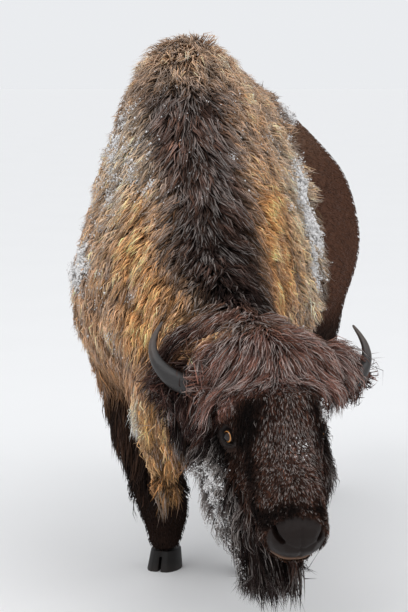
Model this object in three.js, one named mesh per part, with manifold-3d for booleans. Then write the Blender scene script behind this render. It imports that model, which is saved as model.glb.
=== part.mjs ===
// A life-size American bison standing square with its head lowered and turned to its left.
// Millimetres, +Z up. The animal faces -Y and its left side is +X. The flesh is one smooth form, the
// union of rounded muscles and limbs, which is meshed and then parted into its named pieces by thin cuts.
// The outline is that of the winter coat: cape, forehead mop, beard and leg hair are part of the form.

import * as THREE from "three";
import { mergeVertices } from "three/addons/utils/BufferGeometryUtils.js";
import Module from "manifold-3d";

const wasm = await Module();
wasm.setup();

// ---------------------------------------------------------------------------------------------
// Driving sizes. Points are measured from the ground below the top of the hump.

const GAP = 0.6; // width of each thin cut between two pieces
const FAR = 4000; // longer than the animal
const LEFT = 1;
const RIGHT = -1;

// Stations along the back: "at" is the distance behind the hump, "girth" the height of the widest
// point, "half" the half width there, and "ridge" says how round the back is (2 is an ellipse, less is
// peaked). The cape ends at the step between the fifth and the sixth.
const TRUNK = [
  { at: -330, top: 1300, girth: 890, bottom: 640, half: 300, ridge: 1.5 },
  { at: -150, top: 1540, girth: 885, bottom: 600, half: 330, ridge: 1.48 },
  { at: 0, top: 1708, girth: 885, bottom: 575, half: 352, ridge: 1.48 },
  { at: 200, top: 1695, girth: 885, bottom: 575, half: 378, ridge: 1.5 },
  { at: 390, top: 1650, girth: 900, bottom: 585, half: 380, ridge: 1.52 },
  { at: 520, top: 1600, girth: 910, bottom: 590, half: 345, ridge: 1.58 },
  { at: 750, top: 1536, girth: 925, bottom: 600, half: 338, ridge: 1.64 },
  { at: 1000, top: 1466, girth: 950, bottom: 650, half: 306, ridge: 1.68 },
  { at: 1200, top: 1408, girth: 980, bottom: 740, half: 264, ridge: 1.72 },
  { at: 1400, top: 1336, girth: 1000, bottom: 800, half: 216, ridge: 1.8 },
  { at: 1520, top: 1255, girth: 1000, bottom: 830, half: 185, ridge: 2 },
];
const BELLY_ROUND = 2.2; // as "ridge", for the lower half of each section
const CHEST_ROUNDING = 330; // how far the front end of the trunk takes to close
const RUMP_ROUNDING = 270;

// Where each hoof stands.
const FEET = {
  fore_left: { side: LEFT, x: 215, y: 110 },
  fore_right: { side: RIGHT, x: -80, y: 90 },
  hind_left: { side: LEFT, x: 105, y: 1260 },
  hind_right: { side: RIGHT, x: -150, y: 1200 },
};
const HOOF = { length: 128, width: 108, height: 62, slope: 14, cleft: 9 };

// The legs leave the body at these cuts, and "between" is the upright plane that parts left from right.
const FORE = { z: 556, between: 60, front: -230, back: 330 };
const HIND = { y: 1000, z: 690, tilt: 20, between: -20, front: 880, back: 1560 };

const TAIL_CUT = 1532; // how far behind the hump the tail leaves the rump

// The head hangs from the poll, its nose forward of the vertical and turned to the animal's left.
const HEAD = { poll: { x: 438, y: -541, z: 823 }, heading: 30, pitch: 26, roll: -1.5 };
const NECK_CUT = { x: 100, y: -215, z: 950, heading: 22, drop: 12 }; // between neck and trunk
const POLL_CUT = { behind: 150, below: 40, lean: 30 }; // between head and neck, seen from the poll

const EYE = { radius: 20, apart: 264, below: 224, behind: 70 };
const HORN = { root: 31, tip: 4, sides: 8, rings: 10, leftDroop: 9, leftReach: 0.94 };
const EAR = { length: 168, width: 74, thickness: 26, cup: 10 };

// Edge length of the mesh on each piece.
const CELL = { trunk: 78, neck: 60, head: 32.5, fore: 46, hind: 54, tail: 34 };

// ---------------------------------------------------------------------------------------------
// Colours of the pieces.

const coat = (color) =>
  new THREE.MeshStandardMaterial({ color, roughness: 0.95, metalness: 0 });
const CAPE_BROWN = coat(0x6a4a2c);
const FLANK_BROWN = coat(0x3e2a1e);
const HEAD_BROWN = coat(0x2e1d15);
const LEG_BROWN = coat(0x21150f);
const HORN_GREY = new THREE.MeshStandardMaterial({ color: 0x3a3734, roughness: 0.45, metalness: 0 });
const HOOF_BLACK = new THREE.MeshStandardMaterial({ color: 0x1b1917, roughness: 0.55, metalness: 0 });
const EYE_BLACK = new THREE.MeshStandardMaterial({ color: 0x0c0907, roughness: 0.05, metalness: 0 });

// ---------------------------------------------------------------------------------------------
// The flesh as a field: negative inside, zero on the surface, about the distance outside.

const at = (x, y, z) => new THREE.Vector3(x, y, z);
const mirrored = (p, side) => at(p.x * side, p.y, p.z);

// The union of two fields whose crease is filled over the distance "soft".
function melt(a, b, soft) {
  const h = Math.max(soft - Math.abs(a - b), 0) / soft;
  return Math.min(a, b) - (h * h * soft) / 4;
}

// A limb: flesh of a given radius round a line of joints. "flat" thins it from side to side.
const scratch = { bone: at(0, 0, 0), to: at(0, 0, 0) };
function limb(p, joints, flat = 1) {
  let nearest = Infinity;
  for (let i = 0; i + 1 < joints.length; i++) {
    const [a, b] = [joints[i], joints[i + 1]];
    const bone = scratch.bone.subVectors(b.at, a.at);
    const to = scratch.to.subVectors(p, a.at);
    const t = THREE.MathUtils.clamp(to.dot(bone) / bone.lengthSq(), 0, 1);
    to.addScaledVector(bone, -t);
    to.x /= flat;
    nearest = Math.min(nearest, to.length() - THREE.MathUtils.lerp(a.r, b.r, t));
  }
  return nearest;
}

// An egg-shaped muscle.
function muscle(p, centre, radii) {
  const x = (p.x - centre.x) / radii.x;
  const y = (p.y - centre.y) / radii.y;
  const z = (p.z - centre.z) / radii.z;
  const near = Math.hypot(x, y, z);
  const steep = Math.hypot(x / radii.x, y / radii.y, z / radii.z);
  return steep === 0 ? -Math.min(radii.x, radii.y, radii.z) : (near * (near - 1)) / steep;
}

// The barrel of the body, from the stations along the back.
const STATION_SIZES = ["top", "girth", "bottom", "half", "ridge"];
const stations = new THREE.CubicInterpolant(
  TRUNK.map((s) => s.at),
  TRUNK.flatMap((s) => STATION_SIZES.map((size) => s[size])),
  STATION_SIZES.length,
);
const FRONT_END = TRUNK[0].at;
const REAR_END = TRUNK[TRUNK.length - 1].at;
function barrel(p) {
  const y = THREE.MathUtils.clamp(p.y, FRONT_END, REAR_END);
  const [top, girth, bottom, half, ridge] = stations.evaluate(y);
  const upper = p.z > girth;
  const reach = upper ? top - girth : girth - bottom;
  const round = upper ? ridge : BELLY_ROUND;
  const across = Math.abs(p.x) / half;
  const up = Math.abs(p.z - girth) / reach;
  const section = (across ** round + up ** round) ** (1 / round);
  const chest = Math.max(0, FRONT_END + CHEST_ROUNDING - p.y) / CHEST_ROUNDING;
  const rump = Math.max(0, p.y - (REAR_END - RUMP_ROUNDING)) / RUMP_ROUNDING;
  return (Math.hypot(section, chest, rump) - 1) * 0.8 * half;
}

// The shoulder, forearm and cannon, with the long hair of the upper leg on them.
function foreleg({ side, x, y }) {
  return [
    { at: at(side * 175, 60, 900), r: 150 },
    { at: at(side * 185 + 0.2 * x, 80, 640), r: 122 },
    { at: at(side * 90 + 0.55 * x, 60, 450), r: 130 },
    { at: at(side * 35 + 0.8 * x, y - 40, 315), r: 106 },
    { at: at(x, y - 5, 180), r: 82 },
    { at: at(x, y - 2, 112), r: 62 },
    { at: at(x, y - 18, 50), r: 55 },
  ];
}

// The thigh, gaskin, hock and cannon.
function hindleg({ side, x, y }) {
  return [
    { at: at(side * 135, y - 90, 960), r: 150 },
    { at: at(side * 135, y - 205, 740), r: 112 },
    { at: at(side * 60 + 0.65 * x, y - 10, 590), r: 84 },
    { at: at(x, y + 88, 480), r: 59 },
    { at: at(x, y + 62, 300), r: 47 },
    { at: at(x, y + 28, 125), r: 50 },
    { at: at(x, y - 12, 50), r: 53 },
  ];
}

const LIMBS = Object.entries(FEET).map(([name, foot]) =>
  name.startsWith("fore") ? foreleg(foot) : hindleg(foot),
);
const THIGHS = [LEFT, RIGHT].map((side) => ({
  centre: at(side * 135, 1210, 930),
  radii: at(125, 240, 320),
}));

// The mane runs from the hump to the poll, and hangs below the throat.
const NAPE = [
  { at: at(15, 20, 1400), r: 190 },
  { at: at(95, -160, 985), r: 195 },
  { at: at(235, -370, 795), r: 165 },
  { at: at(370, -480, 740), r: 150 },
];
const THROAT = [
  { at: at(20, -110, 880), r: 270 },
  { at: at(140, -290, 760), r: 225 },
  { at: at(290, -430, 690), r: 175 },
];
const DEWLAP = [
  { at: at(95, -395, 640), r: 105 },
  { at: at(100, -455, 500), r: 72 },
  { at: at(98, -475, 365), r: 36 },
];

const TAIL = [
  { at: at(0, 1430, 1200), r: 60 },
  { at: at(4, 1555, 1085), r: 38 },
  { at: at(16, 1590, 900), r: 31 },
  { at: at(30, 1592, 730), r: 46 },
  { at: at(34, 1590, 600), r: 20 },
];

// The head in its own frame: the poll at the origin, the nose down -Z, the forehead facing -Y.
const headGroup = new THREE.Group();
headGroup.position.set(HEAD.poll.x, HEAD.poll.y, HEAD.poll.z);
headGroup.rotation.set(
  THREE.MathUtils.degToRad(-HEAD.pitch),
  THREE.MathUtils.degToRad(HEAD.roll),
  THREE.MathUtils.degToRad(HEAD.heading),
  "ZXY",
);
headGroup.updateMatrixWorld(true);
const intoHead = headGroup.matrixWorld.clone().invert();

const MUZZLE = [
  { at: at(0, 62, -215), r: 108 },
  { at: at(0, 47, -330), r: 107 },
  { at: at(0, 30, -430), r: 104 },
  { at: at(0, 22, -492), r: 91 },
];
const JAW = [
  { at: at(0, 175, -200), r: 100 },
  { at: at(0, 130, -340), r: 90 },
  { at: at(0, 85, -490), r: 58 },
];
const BEARD = [
  { at: at(-10, 185, -340), r: 98 },
  { at: at(-22, 205, -450), r: 82 },
  { at: at(-35, 230, -555), r: 62 },
  { at: at(-45, 262, -640), r: 30 },
];
const BEARD_WIDTH = 1.55; // times its depth
function head(p) {
  const left = at(Math.abs(p.x), p.y, p.z);
  let d = muscle(p, at(0, 95, -145), at(142, 160, 195)); // the braincase and its hair
  d = melt(d, limb(p, MUZZLE), 60);
  d = melt(d, limb(p, JAW), 50);
  d = melt(d, muscle(p, at(0, 10, -530), at(88, 62, 50)), 40); // the nose pad
  d = melt(d, muscle(left, at(108, 62, -196), at(34, 44, 44)), 35); // the brow over each eye
  d = melt(d, muscle(left, at(108, 190, -285), at(74, 92, 130)), 50); // the cheek
  d = melt(d, muscle(p, at(22, 55, -56), at(258, 120, 118)), 40); // the forehead mop
  d = melt(d, muscle(p, at(232, 100, -54), at(72, 64, 84)), 30); // its fringe over the left horn
  return melt(d, limb(p, BEARD, BEARD_WIDTH), 50);
}

const inHead = at(0, 0, 0);
function flesh(p) {
  let d = barrel(p);
  for (const thigh of THIGHS) d = melt(d, muscle(p, thigh.centre, thigh.radii), 90);
  for (const leg of LIMBS) d = melt(d, limb(p, leg), 70);
  d = melt(d, limb(p, TAIL), 40);
  d = melt(d, melt(limb(p, NAPE), limb(p, THROAT), 160), 130);
  d = melt(d, limb(p, DEWLAP), 70);
  inHead.copy(p).applyMatrix4(intoHead);
  return melt(d, head(inHead), 60);
}

// ---------------------------------------------------------------------------------------------
// Meshing: one vertex in each cell that the surface crosses, drawn to the middle of the crossings.

const CORNERS = Array.from({ length: 8 }, (_, i) => [i & 1, (i >> 1) & 1, (i >> 2) & 1]);
const EDGES = [];
for (let a = 0; a < 8; a++)
  for (const bit of [1, 2, 4]) if (!(a & bit)) EDGES.push([a, a | bit]);

// The surface of a field inside a box, as an indexed geometry in the box's frame.
function skin(field, box, cell) {
  const size = box.getSize(at(0, 0, 0));
  const n = size.toArray().map((length) => Math.ceil(length / cell) + 1);
  const index = (i, j, k) => i + n[0] * (j + n[1] * k);
  const values = new Float32Array(n[0] * n[1] * n[2]);
  const p = at(0, 0, 0);
  for (let k = 0; k < n[2]; k++)
    for (let j = 0; j < n[1]; j++)
      for (let i = 0; i < n[0]; i++) {
        p.set(i, j, k).multiplyScalar(cell).add(box.min);
        const rim = Math.min(i, j, k, n[0] - 1 - i, n[1] - 1 - j, n[2] - 1 - k) === 0;
        values[index(i, j, k)] = rim ? Math.max(field(p), cell / 9) : field(p);
      }

  const vertexOf = new Int32Array(values.length).fill(-1);
  const positions = [];
  for (let k = 0; k + 1 < n[2]; k++)
    for (let j = 0; j + 1 < n[1]; j++)
      for (let i = 0; i + 1 < n[0]; i++) {
        const corner = CORNERS.map(([a, b, c]) => values[index(i + a, j + b, k + c)]);
        const middle = at(0, 0, 0);
        let crossings = 0;
        for (const [a, b] of EDGES) {
          if (corner[a] < 0 === corner[b] < 0) continue;
          const t = corner[a] / (corner[a] - corner[b]);
          CORNERS[a].forEach((c, axis) => {
            const value = middle.getComponent(axis) + THREE.MathUtils.lerp(c, CORNERS[b][axis], t);
            middle.setComponent(axis, value);
          });
          crossings++;
        }
        if (!crossings) continue;
        middle.divideScalar(crossings).add(p.set(i, j, k)).multiplyScalar(cell).add(box.min);
        vertexOf[index(i, j, k)] = positions.length / 3;
        positions.push(middle.x, middle.y, middle.z);
      }

  // A quad round each grid edge that the surface crosses.
  const faces = [];
  const stride = [1, n[0], n[0] * n[1]];
  for (let k = 0; k + 1 < n[2]; k++)
    for (let j = 0; j + 1 < n[1]; j++)
      for (let i = 0; i + 1 < n[0]; i++)
        for (let axis = 0; axis < 3; axis++) {
          const cellAt = [i, j, k];
          if (cellAt[(axis + 1) % 3] === 0 || cellAt[(axis + 2) % 3] === 0) continue;
          const here = index(i, j, k);
          const inside = values[here] < 0;
          if (inside === values[here + stride[axis]] < 0) continue;
          const [u, v] = [stride[(axis + 1) % 3], stride[(axis + 2) % 3]];
          const [a, b, c, d] = [here, here - u, here - u - v, here - v].map((q) => vertexOf[q]);
          faces.push(...(inside ? [a, b, c, a, c, d] : [a, c, b, a, d, c]));
        }
  const geometry = new THREE.BufferGeometry();
  geometry.setAttribute("position", new THREE.Float32BufferAttribute(positions, 3));
  geometry.setIndex(faces);
  return geometry;
}

// ---------------------------------------------------------------------------------------------
// Cutting and joining.

function solid(geometry) {
  const bare = geometry.clone();
  for (const name of Object.keys(bare.attributes)) if (name !== "position") bare.deleteAttribute(name);
  const merged = mergeVertices(bare, 1e-3);
  return new wasm.Manifold(
    new wasm.Mesh({
      numProp: 3,
      vertProperties: merged.attributes.position.array,
      triVerts: new Uint32Array(merged.index.array),
    }),
  );
}

function geometryOf(made) {
  const mesh = made.getMesh();
  const geometry = new THREE.BufferGeometry();
  geometry.setAttribute("position", new THREE.BufferAttribute(mesh.vertProperties, 3));
  geometry.setIndex(new THREE.BufferAttribute(mesh.triVerts, 1));
  return geometry;
}

// Everything on the side of a plane that its normal points to, less half a gap.
function beyond(point, normal) {
  const block = new THREE.BoxGeometry(FAR, FAR, FAR).translate(0, 0, FAR / 2 + GAP / 2);
  const turn = new THREE.Quaternion().setFromUnitVectors(at(0, 0, 1), normal.clone().normalize());
  return solid(block.applyQuaternion(turn).translate(point.x, point.y, point.z));
}

const box = (x0, y0, z0, x1, y1, z1) => new THREE.Box3(at(x0, y0, z0), at(x1, y1, z1));

// The largest body of a cut, without the slivers that a cut may leave beside it.
function largest(made) {
  const bodies = made.decompose();
  return bodies.reduce((best, body) => (body.volume() > best.volume() ? body : best));
}

const bison = new THREE.Group();
function piece(name, made, material, parent = bison) {
  const mesh = new THREE.Mesh(geometryOf(made), material);
  mesh.name = name;
  parent.add(mesh);
  return mesh;
}

// ---------------------------------------------------------------------------------------------
// The planes of the cuts.

const deg = THREE.MathUtils.degToRad;
const down = at(0, 0, -1);
const opposite = (normal) => normal.clone().negate();
const neckPoint = at(NECK_CUT.x, NECK_CUT.y, NECK_CUT.z);
const neckNormal = at(0, -1, 0)
  .applyAxisAngle(at(1, 0, 0), deg(NECK_CUT.drop))
  .applyAxisAngle(at(0, 0, 1), deg(NECK_CUT.heading));
const pollPoint = at(0, POLL_CUT.behind, -POLL_CUT.below);
const pollNormal = at(0, -1, 0).applyAxisAngle(at(1, 0, 0), deg(POLL_CUT.lean));
const forePoint = at(0, 0, FORE.z);
const hindPoint = at(0, HIND.y, HIND.z);
const hindNormal = down.clone().applyAxisAngle(at(1, 0, 0), deg(HIND.tilt));
const tailPoint = at(0, TAIL_CUT, 0);
const back = at(0, 1, 0);

// ---------------------------------------------------------------------------------------------
// Trunk, neck and tail.

const trunk = solid(skin(flesh, box(-560, -560, 430, 560, 1700, 1800), CELL.trunk))
  .intersect(beyond(neckPoint, opposite(neckNormal)))
  .intersect(beyond(forePoint, opposite(down)))
  .intersect(beyond(hindPoint, opposite(hindNormal)))
  .intersect(beyond(tailPoint, opposite(back)));
piece("trunk", largest(trunk), CAPE_BROWN);

const neck = solid(skin(flesh, box(-460, -860, 250, 760, 60, 1620), CELL.neck))
  .intersect(beyond(neckPoint, neckNormal))
  .intersect(
    beyond(
      pollPoint.clone().applyMatrix4(headGroup.matrixWorld),
      opposite(pollNormal).transformDirection(headGroup.matrixWorld),
    ),
  );
piece("neck", largest(neck), CAPE_BROWN);

const tail = solid(skin(flesh, box(-120, 1480, 540, 180, 1700, 1320), CELL.tail));
piece("tail", largest(tail.intersect(beyond(tailPoint, back))), FLANK_BROWN);

// ---------------------------------------------------------------------------------------------
// Legs and hooves.

// A cloven hoof: an oval wall that narrows to the coronet, with the cleft cut in from the toe.
function hoof({ x, y }) {
  const toe = new THREE.Shape();
  const [w, l] = [HOOF.width / 2, HOOF.length / 2];
  toe.moveTo(0, -0.86 * l);
  toe.bezierCurveTo(0.3 * w, -1.06 * l, 0.72 * w, -1.0 * l, 0.92 * w, -0.4 * l);
  toe.bezierCurveTo(1.08 * w, 0.1 * l, 1.02 * w, 0.8 * l, 0.45 * w, 0.96 * l);
  toe.lineTo(-0.45 * w, 0.96 * l);
  toe.bezierCurveTo(-1.02 * w, 0.8 * l, -1.08 * w, 0.1 * l, -0.92 * w, -0.4 * l);
  toe.bezierCurveTo(-0.72 * w, -1.0 * l, -0.3 * w, -1.06 * l, 0, -0.86 * l);
  const wall = new THREE.ExtrudeGeometry(toe, {
    depth: HOOF.height,
    bevelEnabled: false,
    curveSegments: 4,
  });
  const position = wall.attributes.position;
  for (let i = 0; i < position.count; i++)
    if (position.getZ(i) > HOOF.height / 2) {
      position.setX(i, position.getX(i) * 0.86);
      position.setY(i, position.getY(i) * 0.8 + HOOF.slope);
    }
  const cleft = new THREE.BoxGeometry(HOOF.cleft, HOOF.length, HOOF.height * 0.72).translate(
    0,
    -0.62 * HOOF.length,
    HOOF.height * 0.36 - 1,
  );
  return solid(wall).subtract(solid(cleft)).translate([x, y - 12, 0]);
}

for (const [name, foot] of Object.entries(FEET)) {
  const fore = name.startsWith("fore");
  const { between, front, back } = fore ? FORE : HIND;
  const room = box(-420, front, HOOF.height - 90, 420, back, fore ? 640 : 960);
  const leg = solid(skin(flesh, room, fore ? CELL.fore : CELL.hind))
    .intersect(fore ? beyond(forePoint, down) : beyond(hindPoint, hindNormal))
    .intersect(beyond(at(between, 0, 0), at(foot.side, 0, 0)))
    .intersect(beyond(at(0, 0, HOOF.height), opposite(down)));
  piece("leg_" + name, largest(leg), fore ? LEG_BROWN : FLANK_BROWN);
  piece("hoof_" + name, hoof(foot), HOOF_BLACK);
}

// ---------------------------------------------------------------------------------------------
// Horns, ears and eyes, each a side of +1 for left or -1 for right. "spare" makes a socket for it.

// A straight tapering stem along +Y, bent along a curve.
function along(curve, geometry, length) {
  const rings = 200;
  const frames = curve.computeFrenetFrames(rings, false);
  const position = geometry.attributes.position;
  for (let i = 0; i < position.count; i++) {
    const t = THREE.MathUtils.clamp(position.getY(i) / length, 0, 1);
    const ring = Math.round(t * rings);
    const p = curve.getPointAt(t);
    p.addScaledVector(frames.binormals[ring], position.getX(i));
    p.addScaledVector(frames.normals[ring], position.getZ(i));
    position.setXYZ(i, p.x, p.y, p.z);
  }
  return geometry;
}

// A horn leaves the side of the skull, sweeps out and up, and its tip turns in. The left one sits lower
// and closer.
function horn(side, spare = 0) {
  const [droop, reach] = side === LEFT ? [deg(HORN.leftDroop), HORN.leftReach] : [0, 1];
  const path = new THREE.CatmullRomCurve3(
    [
      at(120, 88, -82),
      at(198, 76, -78),
      at(272, 66, -52),
      at(316, 68, 12),
      at(312, 76, 68),
      at(276, 84, 122),
    ].map((p) => mirrored(p, side * reach).applyAxisAngle(at(0, 1, 0), droop)),
  );
  const length = path.getLength();
  const profile = [new THREE.Vector2(0, 0)];
  for (let i = 0; i <= HORN.rings; i++) {
    const t = i / HORN.rings;
    const radius = THREE.MathUtils.lerp(HORN.root, HORN.tip, t ** 1.35);
    profile.push(new THREE.Vector2(radius + spare, t * length));
  }
  profile.push(new THREE.Vector2(0, length));
  return solid(along(path, new THREE.LatheGeometry(profile, HORN.sides), length));
}

// An ear is a leaf, hollow in front, that stands out below and behind the horn.
function ear(side, spare = 0) {
  const leaf = new THREE.SphereGeometry(1, 8, 6);
  const position = leaf.attributes.position;
  const out = at(0.97, 0.05, 0.12).normalize(); // along the ear
  const face = at(-0.1, -0.95, -0.25).normalize(); // the way that its hollow looks
  const across = out.clone().cross(face).normalize();
  const root = at(165, 128, -70);
  for (let i = 0; i < position.count; i++) {
    const [x, y, z] = [position.getX(i), position.getY(i), position.getZ(i)];
    const p = root.clone();
    p.addScaledVector(out, (y * (EAR.length + spare)) / 2 + EAR.length / 2);
    p.addScaledVector(across, x * (1 - 0.3 * Math.max(y, 0)) * (EAR.width / 2 + spare));
    p.addScaledVector(face, z * (EAR.thickness / 2 + spare) + EAR.cup * x * x);
    position.setXYZ(i, p.x * side, p.y, p.z);
  }
  if (side === RIGHT) leaf.setIndex(Array.from(leaf.index.array).reverse());
  return solid(leaf);
}

function eye(side, spare = 0) {
  const ball = new THREE.SphereGeometry(EYE.radius + spare, 9, 6);
  return solid(ball.translate((side * EYE.apart) / 2, EYE.behind, -EYE.below));
}

// ---------------------------------------------------------------------------------------------
// Head, with a socket for each of them.

bison.add(headGroup);
const fromHead = (p) => flesh(p.clone().applyMatrix4(headGroup.matrixWorld));
let headSolid = solid(skin(fromHead, box(-330, -150, -740, 330, 400, 150), CELL.head));
headSolid = headSolid.intersect(beyond(pollPoint, pollNormal));
for (const side of [LEFT, RIGHT])
  for (const organ of [horn, ear, eye]) headSolid = headSolid.subtract(organ(side, GAP));
piece("head", largest(headSolid), HEAD_BROWN, headGroup);
for (const [name, side] of Object.entries({ left: LEFT, right: RIGHT })) {
  piece("horn_" + name, horn(side), HORN_GREY, headGroup);
  piece("ear_" + name, ear(side), HEAD_BROWN, headGroup);
  piece("eye_" + name, eye(side), EYE_BLACK, headGroup);
}

// The origin is on the floor, below the middle of the whole animal.
const extent = new THREE.Box3().setFromObject(bison, true);
const middle = extent.getCenter(at(0, 0, 0));
bison.position.set(-middle.x, -middle.y, -extent.min.z);

export default bison;
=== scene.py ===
import math

import bmesh
import bpy
import numpy as np
from mathutils import Matrix, Vector
from mathutils.bvhtree import BVHTree
from mathutils.kdtree import KDTree


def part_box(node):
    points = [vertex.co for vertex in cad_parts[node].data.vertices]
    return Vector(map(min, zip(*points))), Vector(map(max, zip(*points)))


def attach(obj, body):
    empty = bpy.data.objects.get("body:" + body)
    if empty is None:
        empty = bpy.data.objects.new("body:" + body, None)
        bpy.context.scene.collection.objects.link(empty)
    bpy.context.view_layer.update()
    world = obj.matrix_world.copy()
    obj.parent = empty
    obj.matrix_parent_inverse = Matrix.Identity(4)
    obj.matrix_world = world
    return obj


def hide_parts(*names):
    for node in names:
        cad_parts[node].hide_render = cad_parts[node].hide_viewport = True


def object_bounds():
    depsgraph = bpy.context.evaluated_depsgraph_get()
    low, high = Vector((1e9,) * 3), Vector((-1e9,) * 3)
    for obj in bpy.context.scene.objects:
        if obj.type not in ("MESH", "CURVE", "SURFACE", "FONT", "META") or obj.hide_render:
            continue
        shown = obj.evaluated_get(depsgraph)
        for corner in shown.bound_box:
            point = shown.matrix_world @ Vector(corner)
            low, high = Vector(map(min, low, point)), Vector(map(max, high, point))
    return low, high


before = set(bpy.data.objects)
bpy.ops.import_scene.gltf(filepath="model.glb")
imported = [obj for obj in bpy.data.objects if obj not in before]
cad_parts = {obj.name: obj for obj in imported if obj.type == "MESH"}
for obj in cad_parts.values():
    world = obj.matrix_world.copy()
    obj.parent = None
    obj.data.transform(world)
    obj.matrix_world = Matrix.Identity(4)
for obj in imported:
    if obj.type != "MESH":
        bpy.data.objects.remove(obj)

cad_low, cad_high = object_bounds()

# Camera: a long lens at a standing person's eye height, five and a half metres in front of the
# animal and a little to its left, looking slightly down at the lowered head.
CAMERA_PLACE = (1.7022, -6.1208, 1.63)
CAMERA_DOWN = 7.33
CAMERA_TURN = 17.3
CAMERA_LENS = 114.7
CAMERA_SEES = 200


def placed(name, data):
    """A new object with this data, in the scene."""
    made = bpy.data.objects.new(name, data)
    bpy.context.scene.collection.objects.link(made)
    return made


camera = placed("camera", bpy.data.cameras.new("camera"))
camera.location = CAMERA_PLACE
camera.rotation_euler = (math.radians(90 - CAMERA_DOWN), 0, math.radians(CAMERA_TURN))
camera.data.lens = CAMERA_LENS
camera.data.clip_end = CAMERA_SEES
bpy.context.scene.camera = camera


# Studio: a wide floor of pale matt plaster under an even white sky, with one broad soft lamp
# high at the front left, so that the coat is lit from above as on an overcast winter day.
FLOOR_REACH = 90
FLOOR_CLOUDS = 1.4
FLOOR_GREY, FLOOR_PALE = "#ececec", "#efefef"
SKY_PALE = "#f3f5f8"
SKY_STRENGTH = 0.92
LAMP_SIZE = 5.0
LAMP_PLACE = (-1.6, -4.9, 6.8)
LAMP_AIM = (0, 0, 0.8)
LAMP_WATTS = 150
OVERHEAD = 0.60
OVERHEAD_FROM = (0.55, -0.25, 0.80)
OVERHEAD_SPREAD = 50


def linear(hex_colour):
    """An sRGB hex colour as linear red, green and blue."""
    channels = [int(hex_colour[i:i + 2], 16) / 255 for i in (1, 3, 5)]
    return tuple(c / 12.92 if c <= 0.04045 else ((c + 0.055) / 1.055) ** 2.4 for c in channels)


def material_of(name):
    """A new material with its node tree and its shader."""
    made = bpy.data.materials.new(name)
    made.use_nodes = True
    return made, made.node_tree, made.node_tree.nodes["Principled BSDF"]


def add_node(tree, kind, settings=None, links=None):
    """One node: settings are its properties or its sockets' values, links are {socket: source}."""
    node = tree.nodes.new(kind)
    for key, value in (settings or {}).items():
        if isinstance(key, str) and hasattr(node, key):
            setattr(node, key, value)
        else:
            node.inputs[key].default_value = value
    for key, source in (links or {}).items():
        tree.links.new(source, node.inputs[key])
    return node


def opaque(hex_colour):
    """An sRGB hex colour as a socket takes it."""
    return (*linear(hex_colour), 1)


def dress(tree, shader, colour, sockets, relief=None, bump=None):
    """Puts a colour and plain values on a shader, and a relief of these bump settings."""
    tree.links.new(colour, shader.inputs["Base Color"])
    if relief is not None:
        raised = add_node(tree, "ShaderNodeBump", bump, {"Height": relief})
        tree.links.new(raised.outputs["Normal"], shader.inputs["Normal"])
    for socket, value in sockets.items():
        shader.inputs[socket].default_value = value


plaster, tree, shader = material_of("matt_plaster")
clouds = add_node(tree, "ShaderNodeTexNoise", {"Scale": FLOOR_CLOUDS, "Detail": 3.0},
                  {"Vector": add_node(tree, "ShaderNodeTexCoord").outputs["Object"]})
tone = add_node(tree, "ShaderNodeMix",
                {"data_type": "RGBA", 6: opaque(FLOOR_GREY), 7: opaque(FLOOR_PALE)},
                {0: clouds.outputs["Fac"]})
dress(tree, shader, tone.outputs[2], {"Roughness": 0.7, "Specular IOR Level": 0.5})


def mesh_of(name, shape):
    """A mesh made of a bmesh, which is freed."""
    mesh = bpy.data.meshes.new(name)
    shape.to_mesh(mesh)
    shape.free()
    return mesh


floor_shape = bmesh.new()
bmesh.ops.create_circle(floor_shape, cap_ends=True, segments=96, radius=FLOOR_REACH)
floor = placed("floor", mesh_of("floor", floor_shape))
floor.data.materials.append(plaster)

sky = bpy.data.worlds.new("sky")
sky.use_nodes = True
sky.node_tree.nodes["Background"].inputs["Color"].default_value = opaque(SKY_PALE)
sky.node_tree.nodes["Background"].inputs["Strength"].default_value = SKY_STRENGTH
bpy.context.scene.world = sky

lamp = placed("soft_lamp", bpy.data.lights.new("soft_lamp", "AREA"))
lamp.data.shape = "DISK"
lamp.data.size = LAMP_SIZE
lamp.data.energy = LAMP_WATTS
lamp.location = LAMP_PLACE
lamp.rotation_euler = (Vector(LAMP_PLACE) - Vector(LAMP_AIM)).to_track_quat("Z", "Y").to_euler()
overhead = placed("overhead", bpy.data.lights.new("overhead", "SUN"))
overhead.data.energy = OVERHEAD
overhead.data.angle = math.radians(OVERHEAD_SPREAD)
overhead.rotation_euler = Vector(OVERHEAD_FROM).to_track_quat("Z", "Y").to_euler()
bpy.context.scene.view_settings.view_transform = "Standard"


# Skin: one closed hide over trunk, neck, head, ears, legs and tail, as a museum mount has. It is
# the flesh solids run together, smoothed, and drawn in by the depth that the coat has at each
# place, so that the fur brings the animal back to its full outline.
FLESH = ("trunk", "neck", "head", "tail", "leg_fore_left", "leg_fore_right", "leg_hind_left",
         "leg_hind_right", "ear_left", "ear_right")
EARS = FLESH[-2:]
JOIN_BY = 0.0025
SKIN_GRID = 0.0165
HEAD_TURN, HEAD_DROP, HEAD_ROLL = 30.0, 26.0, -1.5
EYES_FROM_POLL = Vector((0, 0.070, -0.224))
HUMP_FROM_FORE_HOOF = Vector((-0.215, -0.0990, 0))
SMOOTHING = {"trunk": 46, "neck": 40, "head": 10, "tail": 8, "leg_fore_left": 16,
             "leg_fore_right": 16, "leg_hind_left": 16, "leg_hind_right": 16, "ear_left": 2,
             "ear_right": 2}
BLEND_ROUNDS = 14
INSET_ROUNDS = 5
EYE_BALL = 0.0198
EYE_SET_IN = 0.0045
# Past these ends, this much of what hangs below is taken back.
CHIN_END, CHIN_BACK = (-0.030, 0.205, -0.500), 0.82
THROAT_END, THROAT_BACK = 0.49, 0.8
PART_BLEND = 10


def middle(node):
    """The middle of a solid's box."""
    low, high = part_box(node)
    return (low + high) / 2


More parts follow.
